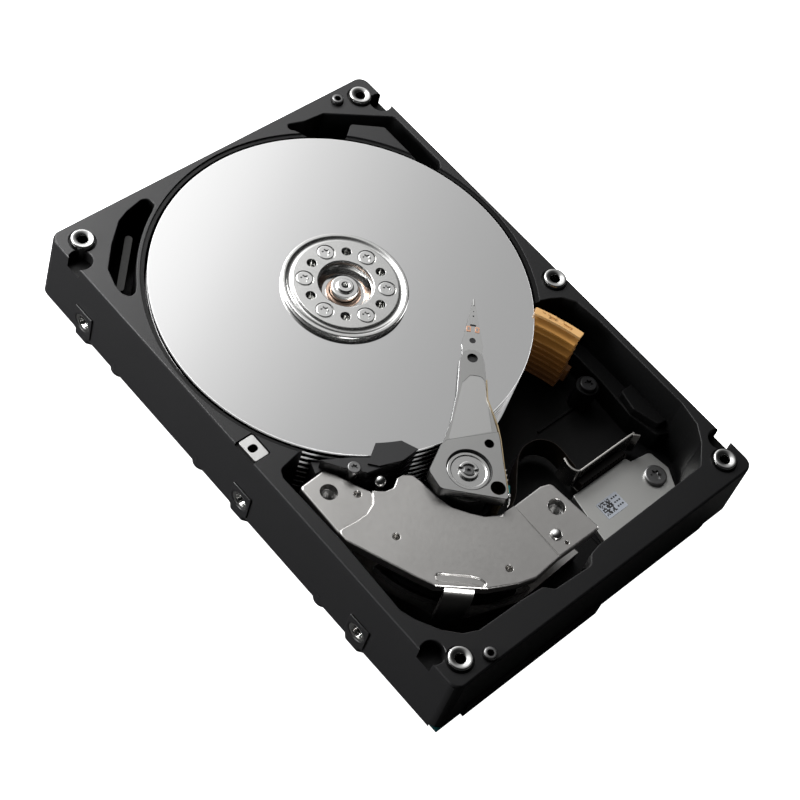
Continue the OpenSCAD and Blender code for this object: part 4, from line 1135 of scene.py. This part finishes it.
RAMP_START = 13.4
RAMP_END = 28.2
RAMP_TOP = RIM + 0.97
RAMP_PEG_R = 52.7


def fan(r0, r1, a0, a1, count=14):
    """Outline between two arcs about the actuator's pivot."""
    return arc(*PIVOT, r1, a0, a1, count) + arc(*PIVOT, r0, a1, a0, count)


def make_ramp():
    low = FLOOR + 0.2
    ramp = block(fan(52.3, 54.2, RAMP_START + 1.5, RAMP_END), low, RIM - 0.2, high=0.12)
    parts = [
        block(fan(52.3, 54.2, 12.6, 18, 6), low, 9, high=0.15),
        slab(fan(51.2, 53.3, RAMP_START + 0.1, RAMP_END - 0.3), 0.25, 2,
             RAMP_TOP - 0.9, RAMP_TOP, low=0.14, high=0.14, steps=2),
    ]
    for k in range(1, ARMS):
        z = arm_z(k)
        inner = 48.9 if k > 2 else 49.8
        parts.append(slab(fan(inner, 53, RAMP_START + 0.3, RAMP_END - 0.3), 0.25, 2,
                          z - 0.35, z + 0.35, low=0.12, high=0.12, steps=2))
    combine(ramp, parts, "UNION")
    cuts = [
        slab(fan(51.6, 52.5, RAMP_START + 3.2, RAMP_START + 10.2), 0.3, 3, RAMP_TOP - 0.45, RAMP_TOP,
             flare=0.1),
        block(fan(52.2, 56, RAMP_START + 6, RAMP_START + 8.5, 4), RAMP_TOP - 0.6, RAMP_TOP + 1),
    ]
    for i in range(PLATTERS):
        z = PLATTER_TOP - i * PITCH
        cuts.append(plug(0, SPINDLE_Y, 48.1, 180, z - PLATTER_T - 0.2, z + 0.2))
    for k in range(2, ARMS):
        z = arm_z(k)
        cuts.append(block(fan(53.1, 56, RAMP_START - 2, RAMP_END - 2), z + 0.6, z + 1.45))
    combine(ramp, cuts)
    pegs = []
    for angle in (RAMP_START + 10.6, RAMP_START + 12.1):
        x, y = polar(*PIVOT, RAMP_PEG_R, angle)
        pegs.append(slab(rectangle(x - 0.22, x + 0.22, y - 0.4, y + 0.4), 0.12, 3, RAMP_TOP - 0.5,
                         RAMP_TOP + 0.3, high=0.12, steps=2))
    combine(ramp, pegs, "UNION")
    finish_piece(ramp, "ramp_comb", "base", "ramp", "load_ramp", "ramp_resin", sharp=35)


def make_arm_flex():
    film = slab([(9.4, -7.05), (9.4, -7.3), (-1, -8.5), (-4.5, -9.25), (-4.5, -9), (-1, -8.25),
                 (2.4, -7.4)], 0, 1, 6.5, 21.1)
    strip = strip_wall([Vector(p) for p in ((26, -3.5), (20.5, -3.9), (13.4, -6.5), (9.6, -7.35),
                                            (2, -8.35), (-2, -9.0), (-4.4, -9.4))], 0.22, 20.6, 24.45)
    combine(film, [strip], "UNION")
    finish_piece(at_arm(film), "arm_film", "actuator", "film", "arm_circuit", "circuit_film", sharp=50)
    pad = slab(rectangle(-4.6, -2.4, -9.75, -9.2), 0.15, 2, 23.4, 24.3, high=0.08, steps=1)
    finish_piece(at_arm(pad), "arm_pad", "actuator", "board", None, "board")
    pins = [slab(rectangle(-7.2, -5.4, -9.9, -9.5), 0.1, 2, 22.5, 24.0, high=0.08, steps=1),
            plug(-5.2, -9.6, 0.35, 16, 22.5, 24.7, high=0.12)]
    for x in (-1.2, 0.1, 1.4):
        y = -9.05 + (x + 1.2) * 0.17
        pins.append(block(rectangle(x - 0.18, x + 0.18, y - 0.1, y + 0.1), 23.0, 24.6))
    finish_piece(at_arm(merged(pins)), "arm_pins", "actuator", "bright", None, "beam_steel")


# ---- build

make_camera()
make_world()
make_floor()
for node_name, node_material in CARRIED_OVER.items():
    coat(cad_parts[node_name], node_material)
make_case()
make_spindle()
make_hardware()
make_carriage()
make_heads()
make_motor_plate()
make_flex()
make_ramp()
make_arm_flex()
make_lights()
